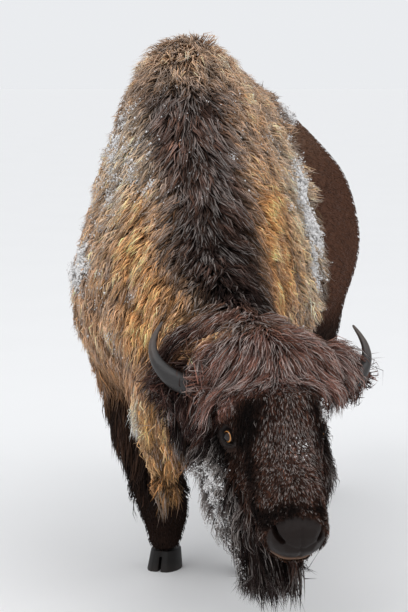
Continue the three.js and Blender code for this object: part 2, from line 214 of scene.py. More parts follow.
hump = middle("hoof_fore_left") + HUMP_FROM_FORE_HOOF
hump.z = 0
head_turn = (Matrix.Rotation(math.radians(HEAD_TURN), 3, "Z")
             @ Matrix.Rotation(math.radians(-HEAD_DROP), 3, "X")
             @ Matrix.Rotation(math.radians(HEAD_ROLL), 3, "Y"))
poll = (middle("eye_left") + middle("eye_right")) / 2 - head_turn @ EYES_FROM_POLL
HEAD_AXES = np.array(head_turn)
CHIN_WAY = np.array(head_turn @ Vector((-0.10, 0.25, -0.95)).normalized())


def on_body(points):
    """Points as (left, behind, up) from the ground under the hump."""
    return points - np.array(hump)


def on_head(points):
    """Points as (left, down the throat, up the crown) from the poll; the nose is at minus z."""
    return (points - np.array(poll)) @ HEAD_AXES


def step(low, high, value):
    """0 below low, 1 above high, and a smooth rise between."""
    t = np.clip((value - low) / (high - low), 0, 1)
    return t * t * (3 - 2 * t)


def from_line(points, line):
    """How far each place is from a line through several points."""
    nearest = np.full(len(points), 9.0)
    for start, end in zip(np.array(line[:-1]), np.array(line[1:])):
        run = end - start
        t = np.clip((points - start) @ run / (run @ run), 0, 1)
        nearest = np.minimum(nearest, np.linalg.norm(points - start - t[:, None] * run, axis=1))
    return nearest


def blob(points, centre, reach):
    """1 at the centre of a soft ellipsoid, fading out past its reach."""
    gap = (points - np.array(centre)) / np.array(reach)
    return np.exp(-(gap ** 2).sum(1))


flesh = bmesh.new()
node_of_face = []
for node in FLESH[:-2]:
    part = bmesh.new()
    part.from_mesh(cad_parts[node].data)
    bmesh.ops.remove_doubles(part, verts=part.verts, dist=1e-5)
    part.normal_update()
    for vertex in part.verts:
        vertex.co += vertex.normal * JOIN_BY
    # The beard and the wool under the throat end in hair alone, so the skin stops short there.
    place = np.array([v.co for v in part.verts])
    throat = on_head(place)[:, 1]
    past_chin = (place - np.array(poll) - HEAD_AXES @ np.array(CHIN_END)) @ CHIN_WAY
    past_chin = np.clip(past_chin, 0, None) * step(0.11, 0.15, throat) * (node == "head")
    place -= CHIN_BACK * past_chin[:, None] * CHIN_WAY
    place[:, 2] += THROAT_BACK * np.clip(THROAT_END - place[:, 2], 0, None) * (node == "neck")
    for vertex, co in zip(part.verts, place):
        vertex.co = co
    node_of_face += [FLESH.index(node)] * len(part.faces)
    swollen = mesh_of("swollen", part)
    flesh.from_mesh(swollen)
    bpy.data.meshes.remove(swollen)
flesh_mesh = bpy.data.meshes.new("flesh")
flesh.to_mesh(flesh_mesh)
for node in EARS:
    flesh.from_mesh(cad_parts[node].data)
    node_of_face += [FLESH.index(node)] * len(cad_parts[node].data.polygons)
node_of_face = np.array(node_of_face)
flesh_tree = BVHTree.FromBMesh(flesh)
flesh.free()
flesh_object = placed("flesh", flesh_mesh)
remesh = flesh_object.modifiers.new("one_surface", "REMESH")
remesh.mode = "VOXEL"
remesh.voxel_size = SKIN_GRID
one_surface = bpy.data.meshes.new_from_object(
    flesh_object.evaluated_get(bpy.context.evaluated_depsgraph_get()))
bpy.data.objects.remove(flesh_object)
hide = bmesh.new()
hide.from_mesh(one_surface)
bpy.data.meshes.remove(one_surface)


def places(shape):
    """The vertices of a bmesh, their normals and its edges, as arrays."""
    shape.verts.index_update()
    shape.normal_update()
    points = np.array([v.co for v in shape.verts])
    normals = np.array([v.normal for v in shape.verts])
    edges = np.array([[e.verts[0].index, e.verts[1].index] for e in shape.edges])
    return points, normals, edges


def put(shape, points):
    """Moves the vertices of a bmesh."""
    for vertex, point in zip(shape.verts, points):
        vertex.co = point


def evened(values, edges, rounds, amount=0.5):
    """Values at the vertices, each drawn towards its neighbours' mean, some rounds over."""
    count = len(values)
    values = values.reshape(count, -1).astype(float)
    a, b = edges[:, 0], edges[:, 1]
    degree = np.bincount(edges.ravel(), minlength=count)[:, None].clip(1)
    rounds = np.broadcast_to(rounds, (count,))
    for turn in range(int(rounds.max())):
        drawn = (amount * np.clip(rounds - turn, 0, 1))[:, None]
        total = np.empty_like(values)
        for k in range(values.shape[1]):
            total[:, k] = (np.bincount(a, values[b, k], count)
                           + np.bincount(b, values[a, k], count))
        values = values + drawn * (total / degree - values)
    return values


def parts_of(points):
    """For each point, which flesh solid it belongs to, as one column for each solid."""
    belongs = [node_of_face[flesh_tree.find_nearest(Vector(p))[2]] for p in points]
    return np.eye(len(FLESH))[belongs]


points, normals, edges = places(hide)
parts = evened(parts_of(points), edges, BLEND_ROUNDS)
rounds = parts @ np.array([SMOOTHING[node] for node in FLESH])
rounds *= step(0.068, 0.17, points[:, 2])
put(hide, evened(points, edges, rounds))

# The head carries the finest forms, so its mesh is halved, and halved again on the face and
# round the eyes.
EYES = {"left": (middle("eye_left"), 1), "right": (middle("eye_right"), -1)}
LID_REACH = 0.034


def from_eyes(points):
    """How far each place is from the nearer eye."""
    return np.minimum(*[np.linalg.norm(points - np.array(centre), axis=1)
                        for centre, _ in EYES.values()])


for zone in ("head", "face", "nose", "eyes", "lids"):
    points, normals, edges = places(hide)
    here = on_head(points)
    if zone == "head":
        of_head = parts[:, FLESH.index("head")]
        inside = (of_head > 0.4) & (here[:, 2] < 0.12)
    elif zone == "face":
        inside = ((here[:, 1] < 0.16) & (here[:, 2] < -0.13) & (np.abs(here[:, 0]) < 0.19)
                  & (here[:, 2] > -0.75))
    elif zone == "nose":
        inside = (here[:, 1] < 0.045) & (here[:, 2] < -0.485)
    else:
        inside = from_eyes(points) < {"eyes": 0.058, "lids": LID_REACH}[zone]
    chosen = [e for e in hide.edges if inside[e.verts[0].index] and inside[e.verts[1].index]]
    bmesh.ops.subdivide_edges(hide, edges=chosen, cuts=1, use_grid_fill=True)
    points, normals, edges = places(hide)
    put(hide, evened(points, edges, 2.0 * (on_head(points)[:, 2] < 0.1)))
bmesh.ops.triangulate(hide, faces=hide.faces)

points, normals, edges = places(hide)
parts = evened(parts_of(points), edges, PART_BLEND)


def share(parts, *nodes):
    """How much each place belongs to the named solids, from 0 to 1."""
    return sum(parts[:, FLESH.index(node)] for node in nodes)


CAPE_EDGE = ((0.60, 0.22), (0.90, 0.34), (1.15, 0.385), (1.45, 0.62), (1.62, 0.74))


def cape(body):
    """1 on the woolly cape over neck, hump and shoulders, 0 on the short coat behind its edge."""
    heights, edge = zip(*CAPE_EDGE)
    line = np.interp(body[:, 2], heights, edge) + 0.022 * mottle(body, 0.16, 3)
    return 1 - step(-0.02, 0.035, body[:, 1] - line)


def mottle(points, size, seed):
    """Soft patches about one size across, between -1 and 1, the same at every run."""
    draw = np.random.default_rng(seed)
    ways = draw.normal(size=(9, 3))
    ways *= (2 * math.pi / size * draw.uniform(0.5, 1.2, 9) / np.linalg.norm(ways, axis=1))[:, None]
    return np.clip(np.sin(points @ ways.T + draw.uniform(0, 2 * math.pi, 9)).mean(1) * 2.2, -1, 1)


def coat_depth(points, parts):
    """How deep the coat lies over the skin, in metres."""
    body, head = on_body(points), on_head(points)
    side, throat, crown = np.abs(head[:, 0]), head[:, 1], head[:, 2]
    trunk = 0.010 + 0.034 * cape(body)
    trunk += 0.012 * (1 - step(0.62, 0.80, body[:, 2])) * (1 - cape(body))
    neck = 0.046 - 0.026 * blob(body, (0.09, -0.47, 0.56), (0.14, 0.14, 0.15))
    mop = step(-0.175, -0.10, crown) * (1 - step(0.10, 0.20, throat))
    mop = np.maximum(mop, step(0.15, 0.2, side) * step(-0.30, -0.2, crown))
    beard = step(0.11, 0.17, throat) * (1 - step(-0.22, -0.12, crown))
    cheek = step(0.05, 0.13, throat) * (1 - mop)
    face = 0.007 + 0.015 * cheek
    pad = blob(head, (0, -0.045, -0.560), (0.085, 0.075, 0.075))
    face = face * (1 - np.clip(1.3 * pad, 0, 1))
    face = np.maximum(face, 0.050 * mop)
    face = np.maximum(face, 0.042 * beard)
    fore = 0.007 + 0.034 * step(0.20, 0.36, body[:, 2])
    hind = 0.006 + 0.008 * step(0.40, 0.62, body[:, 2])
    return (share(parts, "trunk") * trunk + share(parts, "neck") * neck
            + share(parts, "head") * face + 0.004 * share(parts, "ear_left", "ear_right")
            + 0.006 * share(parts, "tail")
            + share(parts, "leg_fore_left", "leg_fore_right") * fore
            + share(parts, "leg_hind_left", "leg_hind_right") * hind)


# A thin part, such as an ear, is drawn in by no more than a third of its thickness.
THIRD = 0.33
depth = coat_depth(points, parts)
for centre, _ in EYES.values():
    depth *= 1 - 0.8 * blob(points, centre, (0.05, 0.05, 0.05))
whole_tree = BVHTree.FromBMesh(hide)
thickness = np.full(len(points), 1.0)
for k, (point, normal) in enumerate(zip(points, normals)):
    inward = -Vector(normal)
    hit = whole_tree.ray_cast(Vector(point) + inward * 0.002, inward)
    if hit[3] is not None:
        thickness[k] = hit[3]
depth = np.minimum(evened(depth, edges, 6)[:, 0], THIRD * evened(thickness, edges, 6)[:, 0])
# The smoothing has already drawn the ridges in, so that much comes off the depth.
drawn_in = np.array([(flesh_tree.find_nearest(Vector(p))[0] - Vector(p)).dot(Vector(n))
                     for p, n in zip(points, normals)])
depth -= evened(np.clip(drawn_in, -0.05, 0.05), edges, 12)[:, 0]
depth *= step(0.07, 0.15, points[:, 2])
for turn in range(INSET_ROUNDS):
    points, normals, edges = places(hide)
    points = points - normals * (depth / INSET_ROUNDS)[:, None]
    put(hide, evened(points, edges, 1.0 * (np.abs(depth) > 0.012), 0.3))

# Ears: short and wide-mouthed, cupped towards the brow, on the same hide.
EAR_THIN = 0.005
EAR_CUP = 0.015


def rounded_copy(node, levels):
    """A copy of a faceted solid as a bmesh, with its facets rounded off."""
    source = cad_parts[node].data.copy()
    shape = bmesh.new()
    shape.from_mesh(source)
    bmesh.ops.remove_doubles(shape, verts=shape.verts, dist=1e-5)
    shape.to_mesh(source)
    shape.free()
    holder = placed("rounding", source)
    modifier = holder.modifiers.new("round", "SUBSURF")
    modifier.levels = modifier.render_levels = levels
    smooth = bpy.data.meshes.new_from_object(
        holder.evaluated_get(bpy.context.evaluated_depsgraph_get()))
    bpy.data.objects.remove(holder)
    shape = bmesh.new()
    shape.from_mesh(smooth)
    bpy.data.meshes.remove(smooth)
    return shape


for name in EARS:
    ear = rounded_copy(name, 2)
    place, out, _ = places(ear)
    side = 1 if name == "ear_left" else -1
    mouth_way = np.array(head_turn @ Vector((-0.1 * side, -0.95, -0.25)).normalized())
    long_way = np.array(head_turn @ Vector((0.97 * side, 0.05, 0.12)).normalized())
    centre = place.mean(0)
    along, across = (place - centre) @ long_way, np.cross(mouth_way, long_way)
    width = (place - centre) @ across
    cup = np.exp(-((along - 0.01) / 0.055) ** 2 - (width / 0.022) ** 2)
    place = place - out * EAR_THIN - mouth_way * (EAR_CUP * cup * (out @ mouth_way > -0.1))[:, None]
    put(ear, place)
    ear_mesh = mesh_of("ear", ear)
    hide.from_mesh(ear_mesh)
    bpy.data.meshes.remove(ear_mesh)
bmesh.ops.triangulate(hide, faces=hide.faces)

# Carving: sockets and lids round each eye, the fold above it, nostrils with a raised rim, the
# groove of the mouth and the parting line of the nose pad.
LID_THICK = 0.0026
EYE_LONG, EYE_HIGH = 0.0250, 0.0178
EYE_ALONG = Vector((0, -0.22, -0.975)).normalized()
SLIT_DEEP, RIM_HIGH = 0.008, 0.0022
FOLD_HIGH, FOLD_GAP = 0.0014, 0.0085
BROW_HIGH, BROW_OVER, BROW_WIDE = 0.010, 0.034, 0.030
NOSTRIL_DEEP, NOSTRIL_RIM, CREASE_DEEP = 0.024, 0.0060, 0.003
MOUTH_DEEP, LIP_FULL, PARTING_DEEP = 0.011, 0.005, 0.0035
points, normals, edges = places(hide)
for centre, side in EYES.values():
    outward = np.array(head_turn @ Vector((0.80 * side, -0.56, -0.20)).normalized())
    along = np.array(head_turn @ EYE_ALONG)
    along -= outward * (along @ outward)
    along /= np.linalg.norm(along)
    upward = np.cross(along, outward) * side
    gap = points - np.array(centre) + outward * EYE_SET_IN
    out, lengthways, up = gap @ outward, gap @ along, gap @ upward
    across = np.hypot(lengthways, up)
    lid = EYE_BALL + LID_THICK
    shell = np.sqrt(np.clip(lid ** 2 - across ** 2, 0, None))
    near = (out > -0.01) & (np.linalg.norm(gap, axis=1) < 0.075)
    hug = (1 - step(0.022, 0.052, across)) * near
    slit = EYE_HIGH * np.clip(1 - (lengthways / EYE_LONG) ** 2, 0.0, 1) + 1e-5
    opening = np.where(up > -0.002, np.abs(up) / slit, np.abs(up) / (0.8 * slit))
    rim = RIM_HIGH * np.exp(-((opening - 1.25) / 0.35) ** 2) * (across < 0.026)
    folds = FOLD_HIGH * np.sin(across / FOLD_GAP * 2 * math.pi) * step(0.024, 0.028, across)
    folds = folds * (1 - step(0.040, 0.052, across))
    wanted = out + hug * (shell - out) + rim + folds * near
    wanted = np.where((opening < 1) & (np.abs(lengthways) < EYE_LONG) & near,
                      shell - SLIT_DEEP, wanted)
    points = points + outward * np.where(near, wanted - out, 0)[:, None]
    brow = blob(gap, BROW_OVER * upward + 0.006 * outward, (BROW_WIDE, BROW_WIDE, BROW_WIDE))
    points = points + outward * (BROW_HIGH * brow * near)[:, None]

NOSTRIL = ((0.072, -0.033, -0.505), (0.067, -0.037, -0.528), (0.052, -0.037, -0.551))
PAD_EDGE = ((0.052, -0.037, -0.551), (0.030, -0.035, -0.566), (0.0, -0.030, -0.574))
head = on_head(points)
mirrored = np.column_stack([np.abs(head[:, 0]), head[:, 1:]])
opening = from_line(mirrored, NOSTRIL)
crease = from_line(mirrored, PAD_EDGE)
pit = (NOSTRIL_DEEP * np.exp(-(opening / 0.0085) ** 4)
       - NOSTRIL_RIM * np.exp(-((opening - 0.0155) / 0.006) ** 2))
pit = np.maximum(pit, CREASE_DEEP * np.exp(-(crease / 0.0055) ** 2))
points = points - normals * pit[:, None]


def lips_of(head):
    """How far below the line between the lips a place on the muzzle is."""
    return head[:, 1] - (0.024 + 0.42 * (head[:, 2] + 0.585))


def bare_pad(head):
    """1 on the bald leather of nose and lips, 0 where hair grows."""
    pad = step(0.25, 0.42, blob(head, (-0.012, -0.040, -0.568), (0.092, 0.080, 0.078)))
    lip = (np.abs(lips_of(head) - 0.006) < 0.016) * (head[:, 2] < -0.50)
    return np.maximum(pad, lip)


lips = lips_of(head)
mouth = 1 - step(-0.47, -0.44, head[:, 2])
points = points - normals * (MOUTH_DEEP * mouth * np.exp(-(lips / 0.0062) ** 2))[:, None]
points = points + normals * (LIP_FULL * mouth * np.exp(-((lips - 0.019) / 0.011) ** 2))[:, None]
parting = np.exp(-(head[:, 0] / 0.0045) ** 2) * (1 - step(-0.545, -0.515, head[:, 2]))
points = points - normals * (PARTING_DEEP * parting * (lips < 0.0))[:, None]
put(hide, points)

points, normals, edges = places(hide)
parts = evened(parts_of(points), edges, PART_BLEND)

# The coat's colours, the same on skin and tufts: brown behind, a lighter woolly cape with ochre
# flanks to the neck, a dark mane down the middle, and a face and legs close to black.
CREST = ((0.0, 0.50, 1.62), (0.0, 0.0, 1.69), (0.07, -0.15, 1.53), (0.12, -0.20, 1.38),
         (0.17, -0.25, 1.24), (0.22, -0.31, 1.10), (0.31, -0.38, 1.00), (0.42, -0.50, 0.95))
FLANK, BACK, BELLY = "#50362a", "#694f3d", "#33251f"
CAPE, CAPE_LOW, HUMP_TOP = "#d2a781", "#8c664a", "#dcb797"
# The nape colour is painted shadow, near black: laid behind the poll, down the low end of the mane's
# stripe and under the horns.
OCHRE, PALE_WOOL, MANE, NAPE_SHADOW = "#f5b87d", "#ffe0b8", "#61493f", "#161011"
LEG, CHAP, SHANK, TAIL_TUFT = "#2a1e19", "#4a362b", "#221814", "#1d1614"
MOP, FOREHEAD, FACE, SOCKET = "#785449", "#4c332a", "#3e281f", "#0e0a09"
CHEEK, BEARD, NOSE, LIP_EDGE_AND_HIGHLIGHT = "#2d221f", "#271d19", "#1a110e", "#785a46"
FROST = "#d3c9c3"
# Where snow has caked, on body and head: place, reach and how thickly.
SNOW_ON_BODY = (
    ((0.290, 0.31, 1.27), (0.07, 0.07, 0.12), 1.7),
    ((0.330, 0.31, 1.13), (0.07, 0.055, 0.10), 1.9),
    ((0.365, 0.27, 1.01), (0.07, 0.055, 0.10), 1.5),
    ((-0.24, -0.20, 1.05), (0.10, 0.10, 0.10), 1.5),
    ((-0.16, -0.12, 1.42), (0.10, 0.10, 0.09), 1.2),
    ((-0.30, 0.0, 1.12), (0.08, 0.16, 0.14), 1.0),
    ((-0.11, -0.38, 0.83), (0.07, 0.06, 0.09), 0.9),
    ((0.0, -0.40, 1.01), (0.05, 0.06, 0.08), 0.9),
    ((0.040, -0.52, 0.79), (0.03, 0.04, 0.025), 1.8),
    ((-0.26, 0.35, 1.25), (0.08, 0.09, 0.14), 1.0),
    ((0.16, 0.70, 1.45), (0.07, 0.20, 0.05), 1.4),
    ((-0.263, -0.195, 1.0), (0.05, 0.06, 0.08), 1.4),
    ((-0.193, -0.135, 1.30), (0.05, 0.06, 0.07), 1.2),
    ((-0.07, -0.41, 0.89), (0.03, 0.05, 0.07), 1.1),
)
SNOW_ON_HEAD = (
    ((-0.170, 0.12, -0.30), (0.042, 0.05, 0.10), 1.15),
    ((-0.165, 0.14, -0.42), (0.045, 0.05, 0.08), 0.8),
    ((0.115, -0.01, -0.19), (0.030, 0.05, 0.05), 0.85),
    ((0.105, -0.03, -0.33), (0.022, 0.05, 0.10), 0.75),
    ((-0.11, 0.19, -0.60), (0.05, 0.06, 0.05), 1.0),
)
# The near-black bands of the face, from the brow down past the eye to the mouth, and across the
# muzzle over the nose.
EYE_BAND = ((0.10, -0.03, -0.18), (0.112, 0.005, -0.28), (0.108, 0.013, -0.39),
            (0.098, 0.013, -0.465))
MUZZLE_BAND = ((0.09, -0.02, -0.478), (0.05, -0.06, -0.470), (0.0, -0.068, -0.466))


def markings(points, parts):
    """The coat's linear colour at each place, and how frosted it is from 0 to 1."""
    body, head = on_body(points), on_head(points)
    left, up = body[:, 0], body[:, 2]
    side, throat, crown = np.abs(head[:, 0]), head[:, 1], head[:, 2]
    on_skull = share(parts, "head")
    wool = cape(body) * (1 - on_skull)
    legs = share(parts, "leg_fore_left", "leg_fore_right", "leg_hind_left", "leg_hind_right")
    crest = from_line(body, CREST)
    patchy = 0.5 + 0.5 * mottle(points, 0.22, 5)
    tone = np.tile(linear(FLANK), (len(points), 1))
    frost = 0.04 + 0.05 * patchy

    def lay(colour, mask, cold=None):
        nonlocal tone, frost
        tone = tone + mask[:, None] * (np.array(linear(colour)) - tone)
        if cold is not None:
            frost = frost + mask * (cold - frost)

    lay(BACK, step(1.15, 1.45, up) * (0.35 + 0.3 * patchy), 0.22)
    lay(BELLY, (1 - step(0.55, 0.85, up)) * 0.9, 0.03)
    lay(CAPE, wool, 0.42)
    lay(CAPE_LOW, wool * (1 - step(0.60, 0.90, up)) * 0.9, 0.25)
    lay(LEG, wool * (1 - step(0.56, 0.68, up)) * (1 - share(parts, "neck")), 0.05)
    streaky = step(-0.5, 0.7, mottle(points * (1, 1, 0.3), 0.07, 6))
    # Pale golden wool on the cape's left side, laid paler still as painted light falling on that
    # side.
    pale_lit_side = 1.3 * blob(body, (0.33, 0.28, 1.15), (0.16, 0.16, 0.30))
    lay(PALE_WOOL, wool * np.clip(pale_lit_side, 0, 1), 0.5)
    lay(PALE_WOOL, 0.95 * wool * blob(body, (-0.10, -0.19, 1.38), (0.14, 0.13, 0.21)), 0.78)
    ochre = (0.6 * blob(body, (-0.34, 0.10, 1.00), (0.20, 0.17, 0.20))
             + 1.2 * blob(body, (0.33, 0.0, 1.08), (0.13, 0.16, 0.16))
             + step(0.13, 0.19, crest) * (1 - step(0.29, 0.38, crest))
             * (1 - step(1.12, 1.36, up)) * step(0.72, 0.86, up) * step(-0.10, -0.02, left))
    lay(OCHRE, np.clip(ochre, 0, 1) * wool * (0.50 + 0.50 * streaky), 0.10)
    lay(HUMP_TOP, wool * step(1.46, 1.60, up) * 0.9, 0.36)
    stripe = 1 - step(0.06 + 0.03 * patchy, 0.17 + 0.05 * patchy, crest)
    lay(MANE, wool * stripe * (1 - step(1.50, 1.60, up)), 0.40)
    # Painted shadow: the mane's stripe darkened further towards the nape.
    lay(NAPE_SHADOW, 0.55 * wool * stripe * (1 - step(1.06, 1.30, up)), 0.26)
    # Painted shadow in the hollow of the nape behind the poll.
    lay(NAPE_SHADOW, blob(body, (0.33, -0.39, 0.97), (0.12, 0.10, 0.06)) * 0.95, 0.08)
    lay(LEG, np.clip(legs * (1 - step(0.62, 0.76, up)), 0, 1), 0.05)
    lay(CHAP, 0.8 * share(parts, "leg_fore_left", "leg_fore_right") * step(0.36, 0.50, up), 0.3)
    lay(SHANK, np.clip(legs * (1 - step(0.18, 0.3, up)), 0, 1), 0.02)
    lay(TAIL_TUFT, share(parts, "tail") * (1 - step(0.75, 0.95, up)), 0.02)
    lay(FACE, on_skull, 0.24)
    lay(FOREHEAD, on_skull * blob(head, (0.02, 0.0, -0.29), (0.085, 0.13, 0.16)), 0.40)
    lay(SOCKET, 0.8 * on_skull * blob(head, (-0.075, -0.04, -0.17), (0.055, 0.06, 0.05)), 0.05)
    lay(CHEEK, on_skull * step(0.07, 0.13, throat), 0.30)
    lay(BEARD, on_skull * step(0.15, 0.22, throat) * (1 - step(-0.38, -0.28, crown)), 0.2)
    right_cheek = step(0.07, 0.13, throat) * step(0.05, 0.12, -head[:, 0])
    frost = np.maximum(frost, 0.44 * on_skull * right_cheek)
    above_fringe = step(-0.155, -0.105, crown + 0.06 * step(0.10, 0.16, side))
    lay(MOP, np.clip(on_skull + share(parts, *EARS), 0, 1)
        * above_fringe * (1 - step(0.14, 0.2, throat)), 0.34)
    # Painted shadow under the horns, over the ears.
    shadow_under_horn = step(-0.28, -0.20, crown) * step(0.03, 0.07, throat) * step(0.13, 0.17, side)
    lay(NAPE_SHADOW, 0.9 * on_skull * shadow_under_horn, 0.12)
    for place, reach, thick in SNOW_ON_BODY:
        frost = np.maximum(frost, thick * blob(body, place, reach) * (1 - on_skull))
    for place, reach, thick in SNOW_ON_HEAD:
        frost = np.maximum(frost, thick * blob(head, place, reach) * on_skull)
    mirrored = np.column_stack([side, head[:, 1:]])
    band = np.minimum(from_line(mirrored, EYE_BAND), 1.3 * from_line(mirrored, MUZZLE_BAND))
    band = band + 0.014 * mottle(points, 0.05, 9) + 0.010 * (head[:, 0] > 0)
    lay(SOCKET, 0.9 * on_skull * (1 - step(0.008, 0.062, band)), 0.06)
    for centre, _ in EYES.values():
        lay(SOCKET, blob(points, centre, (0.06, 0.06, 0.06)) * on_skull, 0.01)
    lay(NOSE, bare_pad(head) * on_skull, 0.0)
    # Painted shade: the nostril openings laid near black inside the carved pits.
    lay(SOCKET, on_skull * (1 - step(0.006, 0.011, from_line(mirrored, NOSTRIL))), 0.0)
    # A pale band along the lower lip: the lip's paler edge, and a painted highlight on it.
    lay(LIP_EDGE_AND_HIGHLIGHT, 0.8 * on_skull * np.exp(-((lips_of(head) - 0.014) / 0.008) ** 2)
        * (1 - step(-0.545, -0.52, crown)) * (1 - step(0.05, 0.075, side)), 0.0)
    return tone, frost


def stroke(tree, scale, stretch, turn=(0, 0, 0)):
    """Object coordinates stretched along the lie of the hair."""
    coords = add_node(tree, "ShaderNodeTexCoord")
    drawn_out = add_node(tree, "ShaderNodeMapping",
                         {"Scale": [scale * s for s in stretch], "Rotation": turn},
                         {"Vector": coords.outputs["Object"]})
    return drawn_out.outputs["Vector"]


# Short winter fur, lying flat: the eye sees fine strokes of light and dark, quite matt, with no
# sheen. The strokes are drawn two to three millimetres wide, so that they show.
SHORT_FUR = 330.0
short_fur, tree, shader = material_of("short_winter_fur")
painted = add_node(tree, "ShaderNodeAttribute", {"attribute_name": "coat"})
flat_lie = add_node(tree, "ShaderNodeTexNoise", {"Scale": 1.0, "Detail": 3.0, "Roughness": 0.6},
                    {"Vector": stroke(tree, SHORT_FUR, (1, 0.16, 0.3), (0.35, 0, 0))})
steep_lie = add_node(tree, "ShaderNodeTexNoise", {"Scale": 1.0, "Detail": 3.0, "Roughness": 0.6},
                     {"Vector": stroke(tree, SHORT_FUR, (1, 1, 0.16))})
downward = add_node(tree, "ShaderNodeAttribute", {"attribute_name": "downward"})
lie = add_node(tree, "ShaderNodeMix", {"data_type": "FLOAT"},
               {0: downward.outputs["Fac"], 2: flat_lie.outputs["Fac"], 3: steep_lie.outputs["Fac"]})
contrast = add_node(tree, "ShaderNodeMapRange", {"From Min": 0.3, "From Max": 0.7, "To Min": 0.7,
                                                 "To Max": 1.3}, {"Value": lie.outputs[0]})
darkened = add_node(tree, "ShaderNodeVectorMath", {"operation": "SCALE"},
                    {0: painted.outputs["Color"], "Scale": contrast.outputs["Result"]})
dress(tree, shader, darkened.outputs[0], {"Roughness": 0.9, "Specular IOR Level": 0.0},
      lie.outputs[0], {"Strength": 0.55, "Distance": 0.004})

# Bald skin of nose, lips and eyelids: dark wet leather with a fine pebble grain, so that it takes
# a soft highlight.
PEBBLE = 0.0022
nose_leather, tree, shader = material_of("bare_nose_leather")
painted = add_node(tree, "ShaderNodeAttribute", {"attribute_name": "coat"})
pebbles = add_node(tree, "ShaderNodeTexVoronoi", {"feature": "SMOOTH_F1", "Scale": 1 / PEBBLE},
                   {"Vector": add_node(tree, "ShaderNodeTexCoord").outputs["Object"]})
# The leather's tone is lighter in the middle of each pebble and darker towards its edges.
pebble_tone = add_node(tree, "ShaderNodeMapRange", {"From Min": 0.0, "From Max": 0.7, "To Min": 1.25,
                                             "To Max": 0.7}, {"Value": pebbles.outputs["Distance"]})
leather_tone = add_node(tree, "ShaderNodeVectorMath", {"operation": "SCALE"},
                        {0: painted.outputs["Color"], "Scale": pebble_tone.outputs["Result"]})
dress(tree, shader, leather_tone.outputs[0], {"Roughness": 0.45, "Specular IOR Level": 0.18},
      pebbles.outputs["Distance"], {"Strength": 0.35, "Distance": 0.0012, "invert": True})

hide_tree = BVHTree.FromBMesh(hide)
hide_mesh = mesh_of("skin", hide)
tone, frost = markings(points, parts)
frosted = tone + (0.16 * frost.clip(0, 1))[:, None] * (np.array(linear(FROST)) - tone)
colours = np.ones((len(points), 4))
colours[:, :3] = frosted
painted_on = hide_mesh.color_attributes.new("coat", "FLOAT_COLOR", "POINT")
painted_on.data.foreach_set("color", colours.ravel())
down = np.clip(share(parts, "leg_fore_left", "leg_fore_right", "leg_hind_left", "leg_hind_right",
                     "tail") + share(parts, "head"), 0, 1)
hide_mesh.attributes.new("downward", "FLOAT", "POINT").data.foreach_set("value", down)
hide_mesh.materials.append(short_fur)
hide_mesh.materials.append(nose_leather)
bald = bare_pad(on_head(points)) * (share(parts, "head") > 0.5)
bald = np.maximum(bald, from_eyes(points) < LID_REACH)
for polygon in hide_mesh.polygons:
    polygon.use_smooth = True
    polygon.material_index = int(bald[polygon.vertices[0]] > 0.5)
skin = placed("skin", hide_mesh)
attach(skin, "root")
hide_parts(*FLESH)


# Eyes: wet glassy balls, nearly black, with a long level pupil. Round the iris a thin orange ring is
# painted: painted light, standing for the glow through the cornea on the iris's edge, that shows
# towards the nose where the eye turns back.
IRIS, PUPIL, IRIS_GLOW_PAINTED = "#2a1a12", "#08080d", "#f0a860"
IRIS_REACH = 0.0135


def finished(name, shape, material, node):
    """Makes a piece of a bmesh, and has it replace its solid."""
    piece = placed(name, mesh_of(name, shape))
    for polygon in piece.data.polygons:
        polygon.use_smooth = True
    piece.data.materials.append(material)
    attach(piece, "root")
    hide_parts(node)
    return piece


for name, (centre, side) in EYES.items():
    cornea, tree, shader = material_of("wet_cornea_" + name)
    gaze = head_turn @ Vector((side * 0.95, -0.40, -0.20)).normalized()
    seen = add_node(tree, "ShaderNodeAttribute", {"attribute_name": "iris"})
    ring = add_node(tree, "ShaderNodeValToRGB", {}, {"Fac": seen.outputs["Fac"]})
    stops = ring.color_ramp.elements
    stops[0].position, stops[0].color = 0.30, opaque(PUPIL)
    stops[1].position, stops[1].color = 0.42, opaque(IRIS)
    # The orange band of the ramp is painted light: the glow through the cornea on the iris's edge.
    for place, colour in ((0.66, IRIS), (0.69, IRIS_GLOW_PAINTED), (0.76, IRIS_GLOW_PAINTED), (0.84, SOCKET)):
        stops.new(place).color = opaque(colour)
    streaks = add_node(tree, "ShaderNodeTexNoise", {"Scale": 900.0, "Detail": 2.0},
                       {"Vector": add_node(tree, "ShaderNodeTexCoord").outputs["Object"]})
    veined = add_node(tree, "ShaderNodeMix", {"data_type": "RGBA", "blend_type": "MULTIPLY", 0: 0.5},
                      {6: ring.outputs["Color"], 7: streaks.outputs["Color"]})
    dress(tree, shader, veined.outputs[2],
          {"Roughness": 0.06, "IOR": 1.38, "Coat Weight": 0.15, "Coat Roughness": 0.02})
    ball = bmesh.new()
    bmesh.ops.create_uvsphere(ball, u_segments=48, v_segments=32, radius=EYE_BALL)
    bmesh.ops.rotate(ball, verts=ball.verts, matrix=gaze.to_track_quat("Z", "Y").to_matrix())
    ball_middle = centre - (head_turn @ Vector((side, 0, 0))) * EYE_SET_IN
    bmesh.ops.translate(ball, verts=ball.verts, vec=ball_middle)
    on_ball = np.array([v.co for v in ball.verts]) - np.array(ball_middle)
    piece = finished("eyeball_" + name, ball, cornea, "eye_" + name)
    level = np.array(head_turn @ EYE_ALONG)
    level -= np.array(gaze) * (level @ np.array(gaze))
    level /= np.linalg.norm(level)
    over = np.cross(level, np.array(gaze))
    forward = on_ball @ np.array(gaze)
    wide = np.hypot(0.62 * (on_ball @ level), 1.25 * (on_ball @ over))
    round_off = np.hypot(on_ball @ level, on_ball @ over)
    value = np.where(round_off < IRIS_REACH, np.clip(wide / IRIS_REACH * 0.72, 0, 0.6),
                     0.66 + 0.34 * (round_off - IRIS_REACH) / (EYE_BALL - IRIS_REACH))
    value = np.where(forward < 0, 1.0, np.clip(value, 0, 1))
    piece.data.attributes.new("iris", "FLOAT", "POINT").data.foreach_set("value", value)


